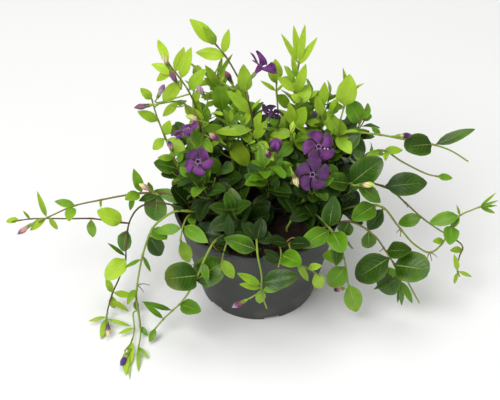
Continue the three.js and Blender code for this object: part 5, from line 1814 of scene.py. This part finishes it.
def skinned(name, skins, *finishes):
    """One mesh from closed skins, each (points, faces, numbers at the points) and its finish's index.

    Doubled points are merged, the faces turned outwards and shaded smooth.
    """
    points, faces, picks = [], [], []
    rows = {}
    for (skin_points, skin_faces, numbers), pick in skins:
        start = len(points)
        points += skin_points
        faces += [tuple(start + v for v in face) for face in skin_faces]
        picks += [pick] * len(skin_faces)
        for key, values in numbers.items():
            rows.setdefault(key, [0.0] * start)
            rows[key] += values
        for row in rows.values():
            row += [0.0] * (len(points) - len(row))
    piece = mesh_object(name, points, (), faces, **rows)
    piece.data.polygons.foreach_set("material_index", picks)
    work = bmesh.new()
    work.from_mesh(piece.data)
    bmesh.ops.remove_doubles(work, verts=work.verts, dist=2e-6)
    bmesh.ops.dissolve_degenerate(work, edges=work.edges, dist=1e-7)
    bmesh.ops.recalc_face_normals(work, faces=work.faces)
    for face in work.faces:
        face.smooth = True
    for edge in work.edges:
        edge.smooth = len(edge.link_faces) == 2 and edge.calc_face_angle(0) < 1.9
    work.to_mesh(piece.data)
    work.free()
    for finish in finishes:
        piece.data.materials.append(finish)
    return piece


class PERIWINKLE_OT_blooms(bpy.types.Operator):
    """Open the flowers: tube, slant-cut petals and the pale star at the mouth"""

    bl_idname = "periwinkle.blooms"
    bl_label = "Flowers"

    def execute(self, context):
        look = context.scene.periwinkle_flowers
        petal, tube = petal_material(look), tube_material(look)
        for name, (_, _, _, centre, facing, radius, flare, turn, dusky) in BLOOMS.items():
            centre, facing = Vector(centre), Vector(facing).normalized()
            if flare > 1:
                skins = [(round_skin(centre, facing, HALF_OPEN, 0.9, 5, 0.13), 1)]
                rim = [0.0] * len(HALF_OPEN)
            else:
                shape = turn, radius, flare
                skins = [(petal_skin(centre, facing, *shape, k), 0) for k in range(5)]
                skins.append((round_skin(centre, facing, OPEN_TUBE, 0.9), 1))
                rim = [math.exp(-(((k - TUBE_BRIM) / 0.9) ** 2)) for k in range(len(OPEN_TUBE))]
            skins[-1][0][2]["rim"] = [near for near in rim for _ in range(FLOWER_SIDES)]
            for (points, _, numbers), _ in skins:
                # Painted shade: every point of the flower keeps how far it is darkened.
                numbers["shade"] = [dusky] * len(points)
            dress(skinned("petals_of_" + name, skins, petal, tube), name)
        return {"FINISHED"}


class PERIWINKLE_OT_buds(bpy.types.Operator):
    """Set the furled buds in their cups"""

    bl_idname = "periwinkle.buds"
    bl_label = "Buds"

    def execute(self, context):
        look = context.scene.periwinkle_buds
        finish = bud_material(look)
        stops = [(share * BUD_LENGTH, radius) for share, radius in FURLED]
        for name, (_, _, _, centre, facing, green, tints) in BUDS.items():
            facing = Vector(facing).normalized()
            base = Vector(centre) - facing * BUD_LENGTH / 2
            skin = round_skin(base, facing, stops, 2.2, 5, 0.09)
            for place, tint in zip(("foot", "middle", "tip"), tints.split()):
                skin[2][place] = [tuple(getattr(look, tint))] * len(skin[0])
            piece = skinned("furled_" + name, [(skin, 0)], finish)
            dress(piece, None if green else name, "buds")
        return {"FINISHED"}


class PERIWINKLE_OT_stage(bpy.types.Operator):
    """Lay the pale floor, hang the soft lights and set the camera"""

    bl_idname = "periwinkle.stage"
    bl_label = "Stage, lights and camera"

    def execute(self, context):
        scene = context.scene
        look = scene.periwinkle_stage
        half = look.floor_size / 2 / MM
        corners = [(-half, -half, 0), (half, -half, 0), (half, half, 0), (-half, half, 0)]
        floor = mesh_object("pale_floor", corners, (), [(0, 1, 2, 3)])
        floor.data.materials.append(paper_material(look))
        for name, place, size, power in (
            ("Key light", (-0.7, -0.9, 1.5), 1.1, look.key),
            ("Fill light", (1.2, -0.8, 0.8), 1.2, look.fill),
            ("Top light", (0.1, 0.3, 1.7), 1.2, look.top),
        ):
            lamp = bpy.data.lights.new(name, "AREA")
            lamp.energy, lamp.size = power, size
            light = placed(name, lamp)
            light.location = place
            way = Vector((0, 0, 0.1)) - light.location
            light.rotation_euler = way.to_track_quat("-Z", "Y").to_euler()
        world = bpy.data.worlds.new("Pale room")
        world.use_nodes = True
        room = Tree(world.node_tree)
        back = room.tree.nodes["Background"].inputs
        back["Color"].default_value = (*look.floor, 1.0)
        seen = room.put("ShaderNodeLightPath", out="Is Camera Ray")
        room.fill(back["Strength"], seen.ramp(0.0, 1.0, look.room, 1.0))
        scene.world = world
        view = bpy.data.cameras.new("Camera")
        view.sensor_width = 36
        view.lens = look.lens
        camera = placed("Camera", view)
        tilt = look.elevation
        camera.location = TARGET * MM + Vector((0, -math.cos(tilt), math.sin(tilt))) * look.distance
        camera.rotation_euler = (math.pi / 2 - tilt, 0, 0)
        scene.camera = camera
        scene.view_settings.view_transform = "Standard"
        return {"FINISHED"}


# Settings.


def colour(name, description, code):
    return bpy.props.FloatVectorProperty(
        name=name, description=description, subtype="COLOR", size=3, min=0, max=1, default=linear(code)
    )


def number(name, description, default, **more):
    return bpy.props.FloatProperty(name=name, description=description, default=default, **more)


def length(name, description, default):
    return number(name, description, default, unit="LENGTH", min=0, precision=5)


def factor(name, description, default, most=1.0):
    return number(name, description, default, subtype="FACTOR", min=0, max=most)


def power(name, default):
    return number(name, "Power of the " + name.lower(), default, subtype="POWER", min=0)


class PotLook(bpy.types.PropertyGroup):
    """Sizes and colours of the pot"""

    wall: length("Wall", "Thickness of the pot's wall", 0.0015)
    rim_band: length("Rim band", "Height of the band round the rim", 0.003)
    notch_width: length("Notch width", "Width of each notch in the foot ring", 0.0125)
    plastic: colour("Plastic", "Colour of the moulded plastic", "363837")
    plastic_worn: colour("Worn plastic", "Colour of the plastic's lighter grain", "444645")
    dust: colour("Dust", "Colour of the dust on the pot", "6c6a63")


class SoilLook(bpy.types.PropertyGroup):
    """Crumbs and colours of the soil and what lies on it"""

    crumb_size: length("Crumb size", "Radius of a middling crumb", 0.0012)
    crumbs: number("Crumbs", "Crumbs on a square metre of soil", 110000.0, min=0)
    dark: colour("Damp soil", "Colour of the damp soil", "1c1410")
    light: colour("Drier soil", "Colour of drier crumbs", "43342a")
    pale: colour("Pale bits", "Colour of bark and root bits", "b89a70")
    root: colour("Dry root", "Colour of the dry roots", "a5824f")


class LeafLook(bpy.types.PropertyGroup):
    """Shape and colours of the leaves and stems"""

    thickness: length("Leaf thickness", "Thickness of a blade at its midrib", 0.0004)
    fold: factor("Fold", "How far the halves of a blade rise from its midrib", 0.36)
    wave: factor("Edge wave", "How far the edge of a blade waves", 0.1)
    extra_leaves: factor("Added leaves", "Share of the gaps between pairs that get their own leaves", 0.9)
    old_green: colour("Old leaf", "Green of the oldest leaves", "2a4706")
    cool_green: colour("Cool leaf", "Bluish green of some old leaves", "2e541a")
    # Painted shade: the dark green that leaves deep inside the plant are darkened towards.
    shaded: colour("Shaded leaf", "Dark green of leaves deep inside the plant", "1a3206")
    middle_green: colour("Middle leaf", "Green of grown leaves", "5f9212")
    young_green: colour("Young leaf", "Green of the youngest leaves", "add030")
    underside: colour("Underside", "Green of the undersides", "8aac3c")
    midrib: colour("Midrib", "Pale green of midribs and veins", "cce57a")
    faded: colour("Faded leaf", "Tint of a leaf that is going over", "a8983a")
    old_stem: colour("Old stem", "Colour of woody stems", "4a4020")
    young_stem: colour("Young stem", "Colour of fresh stems", "86a534")
    knot: colour("Knot", "Colour of the knots where leaves stand", "7c4030")


class FlowerLook(bpy.types.PropertyGroup):
    """Colours of the open flowers"""

    deep: colour("Deep purple", "Darkest purple of a petal", "461e4e")
    bright: colour("Bright purple", "Lightest purple of a petal", "833e8c")
    # Painted shade: the dark purple that a flower is darkened towards where it stands in shade.
    dusky: colour("Dusky purple", "Colour that a dusky flower turns to", "33283f")
    reverse: colour("Reverse", "Duller purple of a petal's back and the tube", "745079")
    star: colour("Star", "Pale eye round the mouth", "d9cbe2")
    tube_foot: colour("Tube foot", "Greenish foot of the tube", "b9bd7e")


class BudLook(bpy.types.PropertyGroup):
    """Colours of the furled buds"""

    # The dark maroon is a ripe foot's own colour, and also the painted shade in the furrows.
    shadow: colour("Furrow", "Dark maroon of the furrows and of a ripe foot", "43202f")
    rose: colour("Rose", "Brownish rose", "8a5860")
    wine: colour("Wine", "Reddish purple", "7c3a68")
    purple: colour("Purple", "Ripe purple", "553a80")
    dusk: colour("Dusk", "Dark blackish purple", "402a50")
    mauve: colour("Mauve", "Greyish purple", "80607c")
    lilac: colour("Lilac", "Pale greyish lilac", "b49cb0")
    blush: colour("Blush", "Pale pinkish brown", "cc9f92")
    cream: colour("Cream", "Yellowish cream", "f2e0a6")
    lime: colour("Lime", "Yellowish green", "bcd850")


class StageLook(bpy.types.PropertyGroup):
    """Light and view of the studio"""

    floor: colour("Floor", "Colour of the floor and the room", "f7f7f6")
    floor_size: length("Floor size", "Length of each side of the floor", 8.0)
    key: power("Key light", 26.0)
    fill: power("Fill light", 3.0)
    top: power("Top light", 13.0)
    room: factor("Room light", "Strength of the light from all round", 0.22, 3.0)
    elevation: number("Elevation", "How far the camera looks down", ELEVATION, subtype="ANGLE")
    distance: length("Distance", "From the camera to the middle of the plant", DISTANCE * MM)
    lens: number("Lens", "Focal length of the camera", 104.3136, subtype="DISTANCE_CAMERA")


LOOKS = {
    "periwinkle_pot": PotLook, "periwinkle_soil": SoilLook, "periwinkle_leaves": LeafLook,
    "periwinkle_flowers": FlowerLook, "periwinkle_buds": BudLook, "periwinkle_stage": StageLook,
}
OPERATORS = (
    PERIWINKLE_OT_pot, PERIWINKLE_OT_soil, PERIWINKLE_OT_litter, PERIWINKLE_OT_stems,
    PERIWINKLE_OT_blooms, PERIWINKLE_OT_buds, PERIWINKLE_OT_stage,
)


class PERIWINKLE_PT_panel(bpy.types.Panel):
    """Lists the pieces of the periwinkle with their settings"""

    bl_idname = "PERIWINKLE_PT_panel"
    bl_label = "Potted periwinkle"
    bl_space_type = "VIEW_3D"
    bl_region_type = "UI"
    bl_category = "Periwinkle"

    def draw(self, context):
        for operator in OPERATORS:
            self.layout.operator(operator.bl_idname)
        for name, look in LOOKS.items():
            box = self.layout.box()
            box.label(text=look.__doc__)
            for setting in look.__annotations__:
                box.prop(getattr(context.scene, name), setting)


CLASSES = (*LOOKS.values(), *OPERATORS, PERIWINKLE_PT_panel)


def register():
    for cls in CLASSES:
        bpy.utils.register_class(cls)
    for name, look in LOOKS.items():
        setattr(bpy.types.Scene, name, bpy.props.PointerProperty(type=look))


def unregister():
    for name in LOOKS:
        delattr(bpy.types.Scene, name)
    for cls in reversed(CLASSES):
        bpy.utils.unregister_class(cls)


def main():
    register()
    bpy.ops.periwinkle.pot()
    bpy.ops.periwinkle.soil()
    bpy.ops.periwinkle.litter()
    bpy.ops.periwinkle.stems()
    bpy.ops.periwinkle.blooms()
    bpy.ops.periwinkle.buds()
    bpy.ops.periwinkle.stage()
    bpy.context.view_layer.update()


if __name__ == "__main__":
    main()
